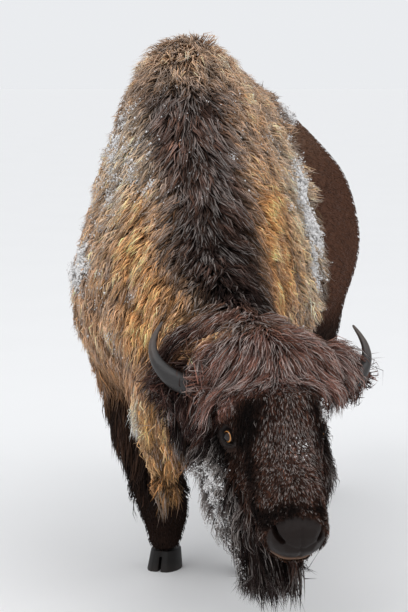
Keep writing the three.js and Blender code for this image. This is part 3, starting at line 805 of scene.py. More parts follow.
# Horns: short, thick at the root and curved up to a point; black-grey keratin with rough growth
# rings low down and a worn, smoother tip.
HORN_DARK, HORN_WORN, HORN_ROOT = "#1d1918", "#4a3c33", "#5d4a3c"
RING_GAP = 0.016
HORN_FULL = 0.0065
RIDGE_HIGH = 0.0016
keratin, tree, shader = material_of("horn_keratin")
from_root = add_node(tree, "ShaderNodeAttribute", {"attribute_name": "from_root"})
ramp = add_node(tree, "ShaderNodeValToRGB", {}, {"Fac": from_root.outputs["Fac"]})
stops = ramp.color_ramp.elements
stops[0].color = opaque(HORN_ROOT)
stops[1].position, stops[1].color = 0.22, opaque(HORN_DARK)
for place, colour in ((0.85, HORN_DARK), (1.0, HORN_WORN)):
    stops.new(place).color = opaque(colour)
fibre = add_node(tree, "ShaderNodeTexNoise", {"Scale": 90.0, "Detail": 6.0, "Roughness": 0.7},
                 {"Vector": add_node(tree, "ShaderNodeTexCoord").outputs["Object"]})
streak = add_node(tree, "ShaderNodeMapRange", {"From Min": 0.3, "From Max": 0.7, "To Min": 0.6,
                                               "To Max": 1.35}, {"Value": fibre.outputs["Fac"]})
horn_tone = add_node(tree, "ShaderNodeVectorMath", {"operation": "SCALE"},
                     {0: ramp.outputs["Color"], "Scale": streak.outputs["Result"]})
dress(tree, shader, horn_tone.outputs[0], {"Roughness": 0.42, "IOR": 1.54},
      fibre.outputs["Fac"], {"Strength": 0.4, "Distance": 0.0015})

for name in ("horn_left", "horn_right"):
    horn = rounded_copy(name, 3)
    places_on_horn = np.array([v.co for v in horn.verts])
    root = np.array(poll + head_turn @ Vector((0.10 if name == "horn_left" else -0.10, 0.09, -0.085)))
    along = np.linalg.norm(places_on_horn - root, axis=1)
    along = along / along.max()
    horn.normal_update()
    ridges = RIDGE_HIGH * np.sin(along * along.max() * 0.25 / RING_GAP * 2 * math.pi
                             + 0.8 * mottle(places_on_horn, 0.06, 11)) * (1 - step(0.3, 0.65, along))
    ridges += HORN_FULL * step(0.0, 0.25, along) * (1 - step(0.55, 1.0, along))
    for vertex, lift in zip(horn.verts, ridges):
        vertex.co += vertex.normal * float(lift)
    piece = finished(name + "_keratin", horn, keratin, name)
    piece.data.attributes.new("from_root", "FLOAT", "POINT").data.foreach_set("value", along)


# Hooves: a pair of blunt black claws to each foot, of the same horn but duller, scuffed pale
# along the ground edge.
HOOF_DARK, HOOF_SCUFFED = "#141211", "#3c3531"
HOOF_ROUNDED, SHARP_FROM = 0.004, 30
hoof_horn, tree, shader = material_of("hoof_horn")
coords = add_node(tree, "ShaderNodeTexCoord")
height = add_node(tree, "ShaderNodeSeparateXYZ", {}, {0: coords.outputs["Object"]})
wear = add_node(tree, "ShaderNodeTexNoise", {"Scale": 60.0, "Detail": 5.0},
                {"Vector": coords.outputs["Object"]})
low_edge = add_node(tree, "ShaderNodeMapRange", {"From Min": 0.0, "From Max": 0.03, "To Min": 0.75,
                                                 "To Max": 0.1}, {"Value": height.outputs["Z"]})
scuffs = add_node(tree, "ShaderNodeMath", {"operation": "MULTIPLY"},
                  {0: low_edge.outputs["Result"], 1: wear.outputs["Fac"]})
hoof_tone = add_node(tree, "ShaderNodeMix",
                     {"data_type": "RGBA", 6: opaque(HOOF_DARK), 7: opaque(HOOF_SCUFFED)},
                     {0: scuffs.outputs[0]})
dress(tree, shader, hoof_tone.outputs[2], {"Roughness": 0.6, "Specular IOR Level": 0.25},
      wear.outputs["Fac"], {"Strength": 0.3, "Distance": 0.002})
for name in ("hoof_fore_left", "hoof_fore_right", "hoof_hind_left", "hoof_hind_right"):
    hoof = bmesh.new()
    hoof.from_mesh(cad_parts[name].data)
    bmesh.ops.remove_doubles(hoof, verts=hoof.verts, dist=1e-5)
    sharp = [e for e in hoof.edges if e.calc_face_angle(0) > math.radians(SHARP_FROM)]
    bmesh.ops.bevel(hoof, geom=sharp, offset=HOOF_ROUNDED, offset_type="OFFSET", affect="EDGES",
                    segments=3, profile=0.5, material=-1, clamp_overlap=True)
    finished(name + "_horn", hoof, hoof_horn, name)


# Coat: the long winter hair, as solid tufts rooted in the hide. Every tuft is a thin three-sided
# lock that lies along the skin the way the hair grows, rises through the coat's depth and ends
# in a point; neighbouring tufts are drawn together into locks.
TUFT_FLAT = 0.42
TUFT_TAPER = (0.80, 1.0, 0.92, 0.72, 0.5)
BAKE_PATCH = 0.003
PROUD = 0.034
OFF_FLOOR = 0.03
ROOT_DEPTH = 0.003
CLUMP_OF_LOCKS = 18
CURL_TURN = 5.5
TIP_LIGHT = 1.33
# How much lightness varies from lock to lock, from tuft to tuft and from clump to clump.
LIGHT_VARIES = (0.22, 0.30, 0.12)
SPINE = ((0, 1.60, 0.95), (0, 0.25, 1.05), (0.10, -0.12, 1.00), (0.40, -0.52, 0.80))

skin_points = np.array([v.co for v in hide_mesh.vertices])
skin_normals = np.array([v.normal for v in hide_mesh.vertices])
skin_parts = parts
skin_body, skin_head = on_body(skin_points), on_head(skin_points)
triangles = np.array([p.vertices[:] for p in hide_mesh.polygons])
corners = skin_points[triangles]
areas = np.linalg.norm(np.cross(corners[:, 1] - corners[:, 0], corners[:, 2] - corners[:, 0]),
                       axis=1) / 2


def unit(vectors):
    """Vectors of length one."""
    return vectors / np.linalg.norm(vectors, axis=-1, keepdims=True).clip(1e-9)


def sow(count, density, draw):
    """Roots for count tufts: their places, the skin's normals and the parts they stand on."""
    total = np.cumsum(areas * density[triangles].mean(1))
    picks = np.searchsorted(total, (np.arange(count) + draw.random(count)) / count * total[-1])
    picks = picks.clip(0, len(triangles) - 1)
    a, b = draw.random(count), draw.random(count)
    over = a + b > 1
    a[over], b[over] = 1 - a[over], 1 - b[over]
    mix = np.stack([1 - a - b, a, b], 1)[:, :, None]
    corner = triangles[picks]
    return ((skin_points[corner] * mix).sum(1), unit((skin_normals[corner] * mix).sum(1)),
            (skin_parts[corner] * mix).sum(1))


def comb(roots, normals, lie, length, height, steps, hang, spread, stray):
    """Centre lines of the tufts, following the skin as lie says; hang is how freely they fall and
    stray is each tuft's own turn off the common way."""
    line, outs = [roots - normals * ROOT_DEPTH], [normals]
    base, out = roots, normals
    pace = (length / steps)[:, None]
    for k in range(1, steps + 1):
        way = unit(lie(base, out)) + stray
        way = unit(way - out * (way * out).sum(1)[:, None])
        found = [hide_tree.find_nearest(Vector(p))[:2] for p in base + way * pace]
        base = np.array([f[0] for f in found])
        out = unit(out + np.array([f[1] for f in found]))
        lift = height * math.sin(math.pi / 2 * (k / steps) ** 0.8)
        laid = base + out * lift[:, None]
        fall = unit(way * 0.5 + np.array((0, 0, -1.0)) + out * spread * (1.2 - k / steps))
        loose = line[-1] + fall * pace
        clear = ((loose - base) * out).sum(1)
        loose = loose + out * (np.clip(0.6 * lift - clear, 0, None))[:, None]
        line.append(laid + (loose - laid) * hang[:, None])
        outs.append(out)
    return np.stack(line, 1), np.stack(outs, 1)


def gather(line, size, pull, draw):
    """Draws tufts together into locks, and says which tuft leads each."""
    leads = draw.choice(len(line), max(1, len(line) // size), replace=False)
    tree = KDTree(len(leads))
    for k, lead in enumerate(leads):
        tree.insert(line[lead, 0], k)
    tree.balance()
    lead = leads[[tree.find(root)[1] for root in line[:, 0]]]
    t = np.linspace(0, 1, line.shape[1]) ** 1.4
    return line + pull * t[None, :, None] * (line[lead] - line), lead


def clumped(roots, ways, size):
    """Splits tufts into clumps drawn out along their lie: each tuft's clump leader, and how near
    it stands to the furrow between two clumps, from 0 to 1."""
    leads = np.arange(size // 2, len(roots), size)
    tree = KDTree(len(leads))
    for k, lead in enumerate(leads):
        tree.insert(roots[lead], k)
    tree.balance()
    near = np.array([[found[1] for found in tree.find_n(root, 6)] for root in roots])
    gap = roots[:, None] - roots[leads][near]
    along = (gap * ways[leads][near]).sum(2)
    away = np.sqrt(np.clip((gap ** 2).sum(2) - 0.93 * along ** 2, 1e-8, None))
    order = np.sort(away, axis=1)
    leader = leads[near[np.arange(len(roots)), away.argmin(1)]]
    return leader, step(0.45, 1.0, order[:, 0] / order[:, 1])


def unwrap(points, routes):
    """The skin opened out flat: along its own middle line, and round it, between 0 and 1."""
    best, flat = np.full(len(points), 9.0), np.zeros((len(points), 2))
    for number, route in enumerate(routes):
        route = np.array(route, float) + np.array(hump)
        reach = np.concatenate([[0], np.cumsum(np.linalg.norm(np.diff(route, axis=0), axis=1))])
        marks = np.linspace(0, reach[-1], 40)
        middle_line = np.stack([np.interp(marks, reach, route[:, k]) for k in range(3)], 1)
        gap = np.linalg.norm(points[:, None] - middle_line[None], axis=2)
        near = np.exp(-(gap ** 2 - gap.min(1)[:, None] ** 2) / (2 * 0.12 ** 2))
        near /= near.sum(1)[:, None]
        along, way = near @ marks, near @ unit(np.gradient(middle_line, axis=0))
        off = points - near @ middle_line
        across = unit(np.cross(way, (0, 0.02, 1.0) if abs(route[0, 2] - route[-1, 2]) < 0.5
                               else (0, 1.0, 0.02)))
        round_it = np.arctan2((off * across).sum(1), (off * np.cross(across, way)).sum(1))
        ours = gap.min(1) < best
        best[ours] = gap.min(1)[ours]
        flat[ours, 0] = (number + 0.5 + 0.48 * round_it[ours] / math.pi) / len(routes)
        flat[ours, 1] = along[ours]
    flat[:, 1] = 0.02 + 0.96 * (flat[:, 1] - flat[:, 1].min()) / max(np.ptp(flat[:, 1]), 1e-6)
    return flat


def joined_mesh(name, co, corner, shade, bake, material):
    """One piece of many small closed shapes: vertices, the corners of its triangles, and for each
    vertex its colour and its place on the bake map."""
    mesh = bpy.data.meshes.new(name)
    mesh.vertices.add(len(co))
    mesh.vertices.foreach_set("co", co.reshape(-1).astype(np.float32))
    mesh.loops.add(len(corner))
    mesh.loops.foreach_set("vertex_index", corner.astype(np.int32))
    mesh.polygons.add(len(corner) // 3)
    mesh.polygons.foreach_set("loop_start", np.arange(0, len(corner), 3, dtype=np.int32))
    mesh.update(calc_edges=True)
    mesh.polygons.foreach_set("use_smooth", np.ones(len(corner) // 3, bool))
    if shade is not None:
        shade = np.concatenate([shade, np.ones((len(shade), 1))], 1).astype(np.float32)
        mesh.color_attributes.new("coat", "FLOAT_COLOR", "POINT").data.foreach_set(
            "color", shade.reshape(-1))
    mesh.uv_layers.new(name="OFBake").data.foreach_set(
        "uv", bake[corner].reshape(-1).astype(np.float32))
    mesh.materials.append(material)
    piece = placed(name, mesh)
    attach(piece, "root")


def facing_out(co, faces):
    """The faces of many like closed shapes, turned so that they point outwards."""
    corner = co[:, faces] - co[:, None, :1]
    volume = np.einsum("tfi,tfi->", corner[:, :, 0], np.cross(corner[:, :, 1], corner[:, :, 2]))
    return faces[:, ::-1] if volume < 0 else faces


def lock_mesh(name, line, outs, width, colours, flat, material, draw):
    """One coat piece: a closed three-sided tapering lock along each line, joined in one mesh."""
    count, rings = line.shape[0], line.shape[1] - 1
    way = unit(np.gradient(line, axis=1))
    side = unit(np.cross(way, outs))
    up = np.cross(side, way)
    roll = draw.normal(0, 0.35, count)[:, None, None]
    side, up = side * np.cos(roll) + up * np.sin(roll), up * np.cos(roll) - side * np.sin(roll)
    taper = np.interp(np.linspace(0, 1, rings + 1), np.linspace(0, 0.8, 5), TUFT_TAPER)[:rings]
    half = width[:, None, None] * taper[None, :, None] / 2
    body, top = line[:, :rings], line[:, rings]
    ring = np.stack([body - side[:, :rings] * half, body + side[:, :rings] * half,
                     body + up[:, :rings] * half * 2 * TUFT_FLAT], 2).reshape(count, -1, 3)
    co = np.concatenate([ring, top[:, None]], 1)
    each = co.shape[1]
    faces = [(0, 2, 1)]
    for k in range(rings - 1):
        for c in range(3):
            d = (c + 1) % 3
            faces += [(3 * k + c, 3 * k + d, 3 * k + 3 + d),
                      (3 * k + c, 3 * k + 3 + d, 3 * k + 3 + c)]
    faces += [(3 * rings - 3 + c, 3 * rings - 3 + (c + 1) % 3, each - 1) for c in range(3)]
    faces = facing_out(co, np.array(faces))
    corner = (faces[None] + each * np.arange(count)[:, None, None]).reshape(-1)
    shade = np.concatenate([np.repeat(colours[:, :rings], 3, axis=1), colours[:, rings:]], 1)
    patch = np.concatenate([np.tile([(0, 0), (1, 0), (0.5, 0)], (rings, 1)), [(0.5, 0)]])
    patch[:, 1] = np.concatenate([np.repeat(np.arange(rings) / rings, 3), [1]])
    bake = flat[:, None] + BAKE_PATCH * (patch[None] - 0.5)
    joined_mesh(name, co.reshape(-1, 3), corner, shade.reshape(-1, 3), bake.reshape(-1, 2),
                material)


# The combed lines of each piece, kept for the rime.
combed = {}


def coat(name, count, density, length, height, width, lie, seed, steps=3, hang=0.0, lock=8,
         pull=0.45, curl=0.0, spread=0.15, stray=0.16, furrow_depth_and_shade=0.6, colour=None, shaded_root_tone=0.38,
         contrast=1.0, frosting=1.0, speckle=0.65, white=0.68, routes=(SPINE,)):
    """One region of the coat: count tufts, sown as density says. Length, height, width and hang are
    each one number or a function of place. Tufts lean together in locks of about lock tufts, and
    locks stand in clumps with furrows between, where tufts stand lower and are painted darker as
    shade in the furrow. Each tuft is painted darker towards its root as shade deep in the coat, the
    root's lightness given as a share of its tone; frosting, speckle and white say how many tips are
    frosted, how unevenly and how white."""
    draw = np.random.default_rng(seed)
    roots, normals, root_parts = sow(count, density, draw)
    body, head = on_body(roots), on_head(roots)

    def asked(value):
        return value(body, head) if callable(value) else np.full(count, float(value))

    long = asked(length) * draw.uniform(0.7, 1.25, count)
    leader, furrow = clumped(roots, unit(lie(roots, normals)), CLUMP_OF_LOCKS * lock)
    high = asked(height) * draw.uniform(0.55, 1.1, count) * (1.12 - furrow_depth_and_shade * furrow)
    line, outs = comb(roots, normals, lie, long, high, steps, np.clip(asked(hang), 0, 1),
                      spread, stray * draw.normal(0, 1, (count, 3)))
    line, lead = gather(line, lock, pull, draw)
    t = np.linspace(0, 1, steps + 1)[None, :, None]
    if curl:
        swing = draw.normal(0, 1, (count, 1, 3))
        swing = swing * np.sin(t * CURL_TURN + draw.uniform(0, 6.3, (count, 1, 1)))
        line = line + curl * swing * t
    line = line.clip(np.array(cad_low) - PROUD, np.array(cad_high) + PROUD)
    line[:, :, 2] = np.maximum(line[:, :, 2], OFF_FLOOR)

    tone, frost = markings(roots, root_parts)
    if colour is not None:
        tone = colour(body, head, tone)
    of_lock, of_tuft, of_clump = LIGHT_VARIES
    lock_light = draw.normal(0, 1, count)[lead]
    lightness = np.exp(contrast * (of_lock * lock_light + of_tuft * draw.normal(0, 1, count)
                                   + of_clump * draw.normal(0, 1, count)[leader]))
    # Tufts near a furrow between clumps are painted darker: painted shade in the furrow.
    lightness *= 1.12 - furrow_depth_and_shade * 1.2 * furrow
    warmth = 1 + contrast * 0.07 * draw.normal(0, 1, (count, 1)) * np.array([[1, 0.1, -1]])
    tone = tone * lightness[:, None] * warmth
    cold_lock = draw.random(count)[lead]
    cold = frost.clip(0, 1.2) * frosting * 1.25 - 0.35 * cold_lock - speckle * draw.random(count)
    cold = np.clip(cold * 3.6, 0, 1)
    # Each tuft is painted darker towards the root: painted shade deep in the coat.
    shade = tone[:, None] * (shaded_root_tone + (TIP_LIGHT - shaded_root_tone) * t)
    rimed = cold[:, None, None] * (0.08 + 0.92 * step(0.25, 1.0, t))
    shade = np.clip(shade + white * rimed * (np.array(linear(FROST)) - shade), 0, 1)
    combed[name] = line, outs, frost
    lock_mesh(name, line, outs, asked(width) * draw.uniform(0.7, 1.3, count), shade,
              unwrap(roots, routes), guard_hair, draw)


# Guard hair: long, coarse and dull, each tuft painted dark at the root, as shade deep in the coat,
# and paler or rimed at the tip. What the eye gets is a soft broken light with almost no gloss. The
# strands are drawn two millimetres wide, so that they show.
guard_hair, tree, shader = material_of("winter_guard_hair")
painted = add_node(tree, "ShaderNodeAttribute", {"attribute_name": "coat"})
strand = add_node(tree, "ShaderNodeTexNoise", {"Scale": 420.0, "Detail": 2.0},
                  {"Vector": add_node(tree, "ShaderNodeTexCoord").outputs["Object"]})
split = add_node(tree, "ShaderNodeMapRange", {"From Min": 0.3, "From Max": 0.7, "To Min": 0.7,
                                              "To Max": 1.3}, {"Value": strand.outputs["Fac"]})
hair_tone = add_node(tree, "ShaderNodeVectorMath", {"operation": "SCALE"},
                     {0: painted.outputs["Color"], "Scale": split.outputs["Result"]})
dress(tree, shader, hair_tone.outputs[0], {"Roughness": 0.72, "Specular IOR Level": 0.08})


def lie_body(points, out):
    """The way the hair grows on trunk and neck: away from the crest, down, and back."""
    body = on_body(points)
    left, behind = body[:, 0], body[:, 1]
    run = np.zeros_like(body)
    apart = np.zeros_like(body)
    nearest = np.full(len(body), 9.0)
    for start, end in zip(np.array(CREST[:-1]), np.array(CREST[1:])):
        way = end - start
        t = np.clip((body - start) @ way / (way @ way), 0, 1)
        gap = body - start - t[:, None] * way
        ours = np.linalg.norm(gap, axis=1) < nearest
        nearest[ours] = np.linalg.norm(gap, axis=1)[ours]
        run[ours], apart[ours] = unit(way), gap[ours]
    front = (1 - step(0.05, 0.30, behind))[:, None]
    apart = unit(apart) * step(0.0, 0.12, nearest)[:, None]
    mane = run * 0.8 + apart * 0.85 + np.array((0, 0, -0.35))
    wool = cape(body)[:, None]
    sides = np.stack([np.sign(left) * 0.25, 0.45 + 0 * left, np.full(len(left), -0.9)], 1)
    flank = np.array((0, 0.9, -0.45)) + step(1.1, 1.4, behind)[:, None] * np.array((0, -0.7, -0.7))
    way = flank + wool * (sides - flank)
    return way + front * wool * (mane - way) + 0.12 * swirl(points)


def swirl(points):
    """A slow wander in the lie, so that no two patches of hair run quite alike."""
    return np.stack([mottle(points, 0.13, seed) for seed in (21, 22, 23)], 1)


wool_here = cape(skin_body)
on_trunk = share(skin_parts, "trunk", "neck")
in_front = 1 - step(-0.16, -0.06, skin_body[:, 1])
high_up = step(0.62, 0.72, skin_body[:, 2])


# Mane and hump front: dense wool, long and frosted, that parts along the crest of neck and hump
# and falls outward to both sides. It is short and upright on top of the hump.
def wool_height(body, head):
    return 0.042 + 0.055 * blob(body, (0, -0.01, 1.68), (0.09, 0.16, 0.09))


def wool_width(body, head):
    return 0.0052 - 0.0020 * step(1.42, 1.58, body[:, 2])


def wool_sown(body):
    return 1 + 0.9 * step(1.42, 1.58, body[:, 2])


coat("coat_mane", count=16800,
     density=on_trunk * wool_here * in_front * high_up * wool_sown(skin_body),
     length=lambda body, head: 0.074 - 0.040 * step(1.48, 1.62, body[:, 2]), height=wool_height,
     width=wool_width, lie=lie_body, seed=31, steps=2, lock=12, pull=0.62, curl=0.006, stray=0.12,
     frosting=1.15)


# Cape: the thick wool over shoulders and hump, on each side down to the elbow and back to its
# ragged edge behind the shoulder.
for k, side in enumerate(("left", "right")):
    here = step(-0.01, 0.01, skin_body[:, 0] * (1 if side == "left" else -1))
    coat("coat_cape_" + side, count=15000,
         density=on_trunk * wool_here * (1 - in_front) * here * high_up * wool_sown(skin_body),
         length=0.058, height=wool_height, width=wool_width, lie=lie_body, seed=41 + k, steps=2,
         lock=13, pull=0.6, curl=0.009, stray=0.18, frosting=1.3)


# Flanks, back and rump: short dense hair that lies close, so the skin's own strokes carry most of
# it and low tufts break its outline.
def flank_length(body, head):
    return 0.026 + 0.014 * (1 - step(0.55, 0.8, body[:, 2])) + 0.010 * step(1.3, 1.45, body[:, 2])


coat("coat_flank", count=10000, density=on_trunk * (1 - wool_here),
     length=flank_length, height=0.0075, width=0.0034, lie=lie_body, seed=51, steps=2, lock=6,
     pull=0.3, contrast=0.35, furrow_depth_and_shade=0.15, shaded_root_tone=0.8)


# Throat and chest: long dark wool that hangs free under the neck and between the forelegs, and
# grows longer the lower it is rooted.
def lie_down(points, out):
    return np.array((0, 0.12, -1.0)) + 0.15 * swirl(points)


def throat_length(body, head):
    return 0.075 + 0.085 * (1 - step(0.56, 0.70, body[:, 2]))


coat("coat_throat", count=4200,
     density=on_trunk * wool_here * (1 - step(0.64, 0.80, skin_body[:, 2])),
     length=throat_length, height=0.040, width=0.0052, lie=lie_down, seed=61, hang=0.75, lock=9,
     pull=0.5, curl=0.004)


# Forelegs: shaggy black chaps from the elbow to the knee, hanging half free, and below them
# short close hair down to the hoof.
def leg_routes(hooves, top):
    """The middle lines of a pair of legs, from the floor under each hoof straight up."""
    feet = [middle(hooves + side) - hump for side in ("left", "right")]
    return tuple(((foot.x, foot.y, 0.0), (foot.x, foot.y, top)) for foot in feet)


FORE_ROUTES = leg_routes("hoof_fore_", 0.85)
fore_legs = share(skin_parts, "leg_fore_left", "leg_fore_right")
chap_zone = step(0.22, 0.34, skin_body[:, 2])
elbow = 0.5 * on_trunk * wool_here * (1 - step(0.7, 0.85, skin_body[:, 2]))
coat("coat_chaps", count=5200, density=(fore_legs + elbow) * chap_zone,
     length=lambda body, head: 0.075 + 0.060 * step(0.3, 0.5, body[:, 2]), height=0.040,
     width=0.0046, lie=lie_down, seed=71, hang=0.65, lock=14, pull=0.6, curl=0.007, frosting=0.5,
     routes=FORE_ROUTES)
coat("coat_shanks", count=2400, density=fore_legs * (1 - chap_zone), length=0.013,
     height=0.007, width=0.0030, lie=lie_down, seed=72, steps=2, lock=4, pull=0.2, contrast=0.5,
     furrow_depth_and_shade=0.2, shaded_root_tone=0.7, routes=FORE_ROUTES)


# Hind legs: short dark hair that lies close, a little longer on the thigh than round the hock
# and the shank.
HIND_ROUTES = leg_routes("hoof_hind_", 0.9)
hind_legs = share(skin_parts, "leg_hind_left", "leg_hind_right")
coat("coat_hind_legs", count=3800,
     density=hind_legs * (0.5 + step(0.15, 0.5, skin_body[:, 2])),
     length=lambda body, head: 0.012 + 0.016 * step(0.35, 0.7, body[:, 2]), height=0.009,
     width=0.0034, lie=lie_down, seed=73, steps=2, lock=4, pull=0.25, contrast=0.4, furrow_depth_and_shade=0.15,
     shaded_root_tone=0.8, routes=HIND_ROUTES)


# Tail: the dock carries only the skin's short fur, and its lower half ends in a tassel of long
# black hair that hangs free.
tail_here = share(skin_parts, "tail")
TAIL_ROUTE = ((0.02, 1.58, 0.6), (0.02, 1.58, 1.2))
coat("coat_tail", count=800,
     density=tail_here * (1 - step(0.80, 0.98, skin_body[:, 2])),
     length=lambda body, head: 0.05 + 0.06 * (1 - step(0.65, 0.85, body[:, 2])), height=0.012,
     width=0.0042, lie=lie_down, seed=74, hang=0.8, lock=6, pull=0.4, routes=(TAIL_ROUTE,))


# Mop: the cap of long curly hair that springs from the crown and falls over brow, horn roots and
# ears on every side.
def lie_mop(points, out):
    head = on_head(points)
    x, y = head[:, 0], head[:, 1]
    way = np.stack([1.1 * x + 0.02 * np.sign(x), 0.06 + 0.3 * y, -0.16 - 0.25 * np.abs(x)], 1)
    return unit(way) @ HEAD_AXES.T + np.array((0, 0, -0.25)) + 0.22 * swirl(points)


HEAD_ROUTE = tuple(tuple(Vector(HEAD_AXES @ np.array(p)) + poll - hump)
                   for p in ((0, 0.10, -0.70), (0, 0.10, 0.12)))
skull = share(skin_parts, "head")
side_head, throat_head, crown_head = np.abs(skin_head[:, 0]), skin_head[:, 1], skin_head[:, 2]
mop_zone = step(-0.125, -0.085, crown_head + 0.015 * mottle(skin_points, 0.08, 8)
                + 0.06 * step(0.13, 0.2, side_head))
mop_zone = mop_zone * (1 - step(0.15, 0.22, throat_head))
behind_poll = step(0.1, 0.3, skull) * step(0.0, 0.05, crown_head)
mop_edge = np.clip(skull * mop_zone + 0.9 * behind_poll, 0, 1)


def mop_length(body, head):
    fringe = (1 - step(0.06, 0.13, np.abs(head[:, 0]))) * (1 - step(-0.10, -0.05, head[:, 2]))
    return (0.080 - 0.012 * step(0.12, 0.22, head[:, 0]) + 0.022 * step(0.12, 0.20, -head[:, 0])
            - 0.022 * fringe)


def mop_height(body, head):
    fringe = (1 - step(-0.11, -0.06, head[:, 2])) * (1 - step(0.08, 0.14, np.abs(head[:, 0])))
    return (0.052 + 0.022 * step(0.12, 0.20, head[:, 0]) - 0.014 * fringe
            + 0.046 * step(0.13, 0.19, -head[:, 0]))


def mop_hang(body, head):
    return 0.10 + 0.5 * step(0.10, 0.20, head[:, 0]) * (1 - step(-0.06, 0.02, head[:, 2]))


coat("coat_mop", count=11000, density=mop_edge, length=mop_length,
     height=mop_height, width=0.0037, lie=lie_mop, seed=81, hang=mop_hang, curl=0.005, stray=0.10,
     contrast=0.85, frosting=1.8, speckle=0.95, white=0.75)


# Face: short wiry hair down to the nose, woolly and rimed on the forehead, and sleek and nearly
# black round the eyes.
def lie_face(points, out):
    head = on_head(points)
    x, y, z = head.T
    way = np.stack([0.9 * x, 0.05 + 0.9 * np.clip(y, 0, 1), -0.35 + 0 * z], 1)
    return unit(way) @ HEAD_AXES.T + 0.14 * swirl(points)


near_eye = from_eyes(skin_points)
bare_nose = bare_pad(skin_head)
face_zone = (skull * (1 - mop_zone) * (1 - step(0.10, 0.17, throat_head))
             * step(0.034, 0.056, near_eye))
face_zone = (face_zone * (1 - step(0.25, 0.75, bare_nose))
             * (0.6 + 0.6 * step(0.10, 0.02, side_head)))


def face_length(body, head):
    return (0.011 + 0.012 * step(-0.36, -0.22, head[:, 2])
            + 0.006 * np.exp(-((head[:, 2] + 0.425) / 0.02) ** 2)
            - 0.004 * step(0.11, 0.15, np.abs(head[:, 0])))


coat("coat_face", count=15000, density=face_zone, length=face_length,
     height=0.0095, width=0.0026, lie=lie_face, seed=82, steps=2, lock=5, pull=0.35, curl=0.0016,
     furrow_depth_and_shade=0.3, contrast=1.4, frosting=1.75, speckle=1.25, white=0.9, routes=(HEAD_ROUTE,))


# Cheeks and jaw: hair from a thumb to a finger long, hanging back from the mouth, and caked
# with rime on the right.
def lie_beard(points, out):
    head = on_head(points)
    way = np.array((0, 0.35, -0.9)) @ HEAD_AXES.T
    return way + np.array((0, 0, -0.6)) + 0.15 * swirl(points)


def cheek_length(body, head):
    return 0.044 + 0.055 * step(0.12, 0.22, head[:, 1])


def cheek_height(body, head):
    jowl = 0.034 + 0.040 * step(0.05, 0.12, -head[:, 0])
    return 0.026 + jowl * step(0.08, 0.17, head[:, 1])


under_mop = skull * (1 - mop_zone)
cheek_zone = under_mop * step(0.06, 0.14, throat_head) * step(0.03, 0.05, near_eye)
beard_zone = under_mop * step(0.09, 0.15, throat_head) * (1 - step(-0.38, -0.24, crown_head))
beard_zone = beard_zone * (1 - bare_nose)
coat("coat_cheeks", count=6000, density=cheek_zone * (1 - 0.7 * beard_zone),
     length=cheek_length, height=cheek_height, width=0.0040, lie=lie_beard, seed=83, hang=0.45,
     lock=12, pull=0.55, curl=0.006, spread=0.5, frosting=1.5, routes=(HEAD_ROUTE,))


# Beard: the long dark hair of the chin and jaw, in heavy locks that fall free, to a ragged end
# about five centimetres above the floor.
def beard_length(body, head):
    on_chin = (1 - step(-0.45, -0.28, head[:, 2])) * step(0.08, 0.15, head[:, 1])
    return 0.09 + 0.125 * on_chin


coat("coat_beard", count=6000, density=beard_zone, length=beard_length,
     height=0.040, width=0.0044, lie=lie_beard, seed=84, hang=0.95, lock=16, pull=0.6,
     curl=0.009, spread=0.30, routes=(HEAD_ROUTE,))


# Ears: shaggy inside and out, with hair as long as they are, that is lost in the fringe of the
# mop.
def lie_ear(points, out):
    head = on_head(points)
    way = np.stack([np.sign(head[:, 0]), 0.15 + 0 * head[:, 0], -0.5 + 0 * head[:, 0]], 1)
    return unit(way) @ HEAD_AXES.T + 0.2 * swirl(points)


coat("coat_ears", count=900, density=share(skin_parts, *EARS), length=0.042,
     height=0.012, width=0.0036, lie=lie_ear, seed=85, hang=0.2, lock=6, pull=0.4,
     routes=(HEAD_ROUTE,))


# Matted wool: last year's shed undercoat, felted into a tan mat that hangs from the right of the
# throat in front of the foreleg, and runs out in loose strings.
MAT_TAN, MAT_PALE, MAT_OCHRE = "#cfa87c", "#f4e8d4", "#c28e5a"
MAT_PLACE, MAT_REACH = (0.085, -0.49, 0.60), (0.115, 0.14, 0.15)
MAT_FACES = (-0.55, -0.83, 0)
mat_zone = (on_trunk * step(0.35, 0.6, blob(skin_body, MAT_PLACE, MAT_REACH))
            * step(-0.1, 0.3, skin_normals @ np.array(MAT_FACES)))


def mat_colour(body, head, tone):
    tan, pale, ochre, dark = [np.array(linear(colour))
                              for colour in (MAT_TAN, MAT_PALE, MAT_OCHRE, CAPE_LOW)]
    patches = 0.5 + 0.5 * mottle(body, 0.07, 91)[:, None]
    streaks = step(0.1, 0.8, mottle(body * (1, 1, 0.3), 0.05, 93))[:, None]
    bleached = 1 - step(0.015, 0.075, body[:, 0] + 0.03 * mottle(body, 0.06, 92))[:, None]
    made = tan + patches * (ochre - tan)
    made = made + 0.65 * streaks * (dark - made)
    return made + 0.85 * bleached * (pale - made)


def mat_length(body, head):
    return 0.10 + 0.25 * (1 - step(0.46, 0.58, body[:, 2]))


coat("coat_matted_wool", count=4500, density=mat_zone, length=mat_length,
     height=0.050, width=0.0062, lie=lie_down, seed=92, hang=0.8, lock=30, pull=0.85, curl=0.012,
     spread=0.3, furrow_depth_and_shade=0.8, colour=mat_colour)


# Rime and caked snow: white crumbs of ice in the outer ends of the hair, fine as salt over cape,
# mop and face, and clotted together along the cape's edge, the right shoulder and the cheek.
CRUMB = 0.0010
RIME_DEPTH, RIME_STANDS = 0.0015, 0.002
RIME_FROM, CAKED_FROM = 0.36, 0.6
CLOTS, CLOTTED, CLOT = 170, 0.4, 0.006
ICE_GREY, ICE_WHITE = "#e0dcda", "#ffffff"
ice, tree, shader = material_of("rime_ice")
sparkle = add_node(tree, "ShaderNodeTexNoise", {"Scale": 700.0, "Detail": 2.0},
                   {"Vector": add_node(tree, "ShaderNodeTexCoord").outputs["Object"]})
ice_tone = add_node(tree, "ShaderNodeMix",
                    {"data_type": "RGBA", 6: opaque(ICE_GREY), 7: opaque(ICE_WHITE)},
                    {0: sparkle.outputs["Fac"]})
dress(tree, shader, ice_tone.outputs[2], {"Roughness": 0.55, "IOR": 1.31})


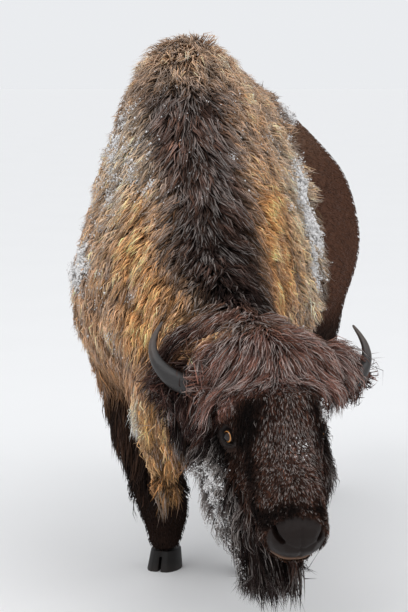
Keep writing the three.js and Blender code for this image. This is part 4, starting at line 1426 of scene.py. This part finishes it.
def rime(name, sources, count, seed, routes=(SPINE,)):
    """White crumbs on the outer ends of the tufts of some coat pieces, where frost says. Each
    crumb is a rough four-sided splinter, and two in five sit together in clots."""
    draw = np.random.default_rng(seed)
    line = np.concatenate([combed[source][0][:, -3:] for source in sources])
    outs = np.concatenate([combed[source][1][:, -1] for source in sources])
    frost = np.concatenate([combed[source][2] for source in sources])
    weight = np.cumsum(np.clip(frost - RIME_FROM, 0, 1) ** 1.5)
    picks = np.searchsorted(weight, draw.random(count) * weight[-1]).clip(0, len(frost) - 1)
    clots = np.searchsorted(weight, draw.random(CLOTS) * weight[-1]).clip(0, len(frost) - 1)
    clotted = draw.random(count) < CLOTTED
    picks = np.where(clotted, clots[draw.integers(0, CLOTS, count)], picks)
    t = draw.uniform(0.35, 0.97, (count, 1))
    early, late = line[picks, 1], line[picks, 2]
    scatter = draw.normal(0, 1, (count, 3)) * np.where(clotted, CLOT, RIME_DEPTH)[:, None]
    centre = early + (late - early) * t + outs[picks] * RIME_STANDS + scatter
    caked = np.clip(frost[picks] - CAKED_FROM, 0, 1)
    size = CRUMB * (1 + 2.8 * caked) * draw.lognormal(0, 0.4, count)
    ways = unit(draw.normal(0, 1, (count, 3)) * 0.5 + unit(late - early))
    across = unit(np.cross(ways, draw.normal(0, 1, (count, 3))))
    third = np.cross(ways, across)
    reach = 1.25 * size[:, None] * draw.uniform(0.7, 1.3, (count, 3))
    base = -ways * reach[:, :1]
    tips = [-1.5 * base, across * reach[:, 1:2] + base, third * reach[:, 2:] + base,
            -(across + third) * reach[:, 1:2] + base]
    co = np.stack([centre + tip for tip in tips], 1)
    faces = facing_out(co[:1], np.array([(0, 1, 2), (0, 2, 3), (0, 3, 1), (1, 3, 2)]))
    corner = (faces[None] + 4 * np.arange(count)[:, None, None]).reshape(-1)
    patch = BAKE_PATCH * (np.array([(0.5, 1), (0, 0), (1, 0), (0.5, 0.3)]) - 0.5)
    bake = unwrap(line[picks, 0], routes)[:, None] + patch
    joined_mesh(name, co.reshape(-1, 3), corner, None, bake.reshape(-1, 2), ice)


rime("rime_cape", ("coat_mane", "coat_cape_left", "coat_cape_right", "coat_flank"),
     count=20000, seed=95)
rime("rime_head", ("coat_face", "coat_cheeks", "coat_beard"), count=6000, seed=96,
     routes=(HEAD_ROUTE,))
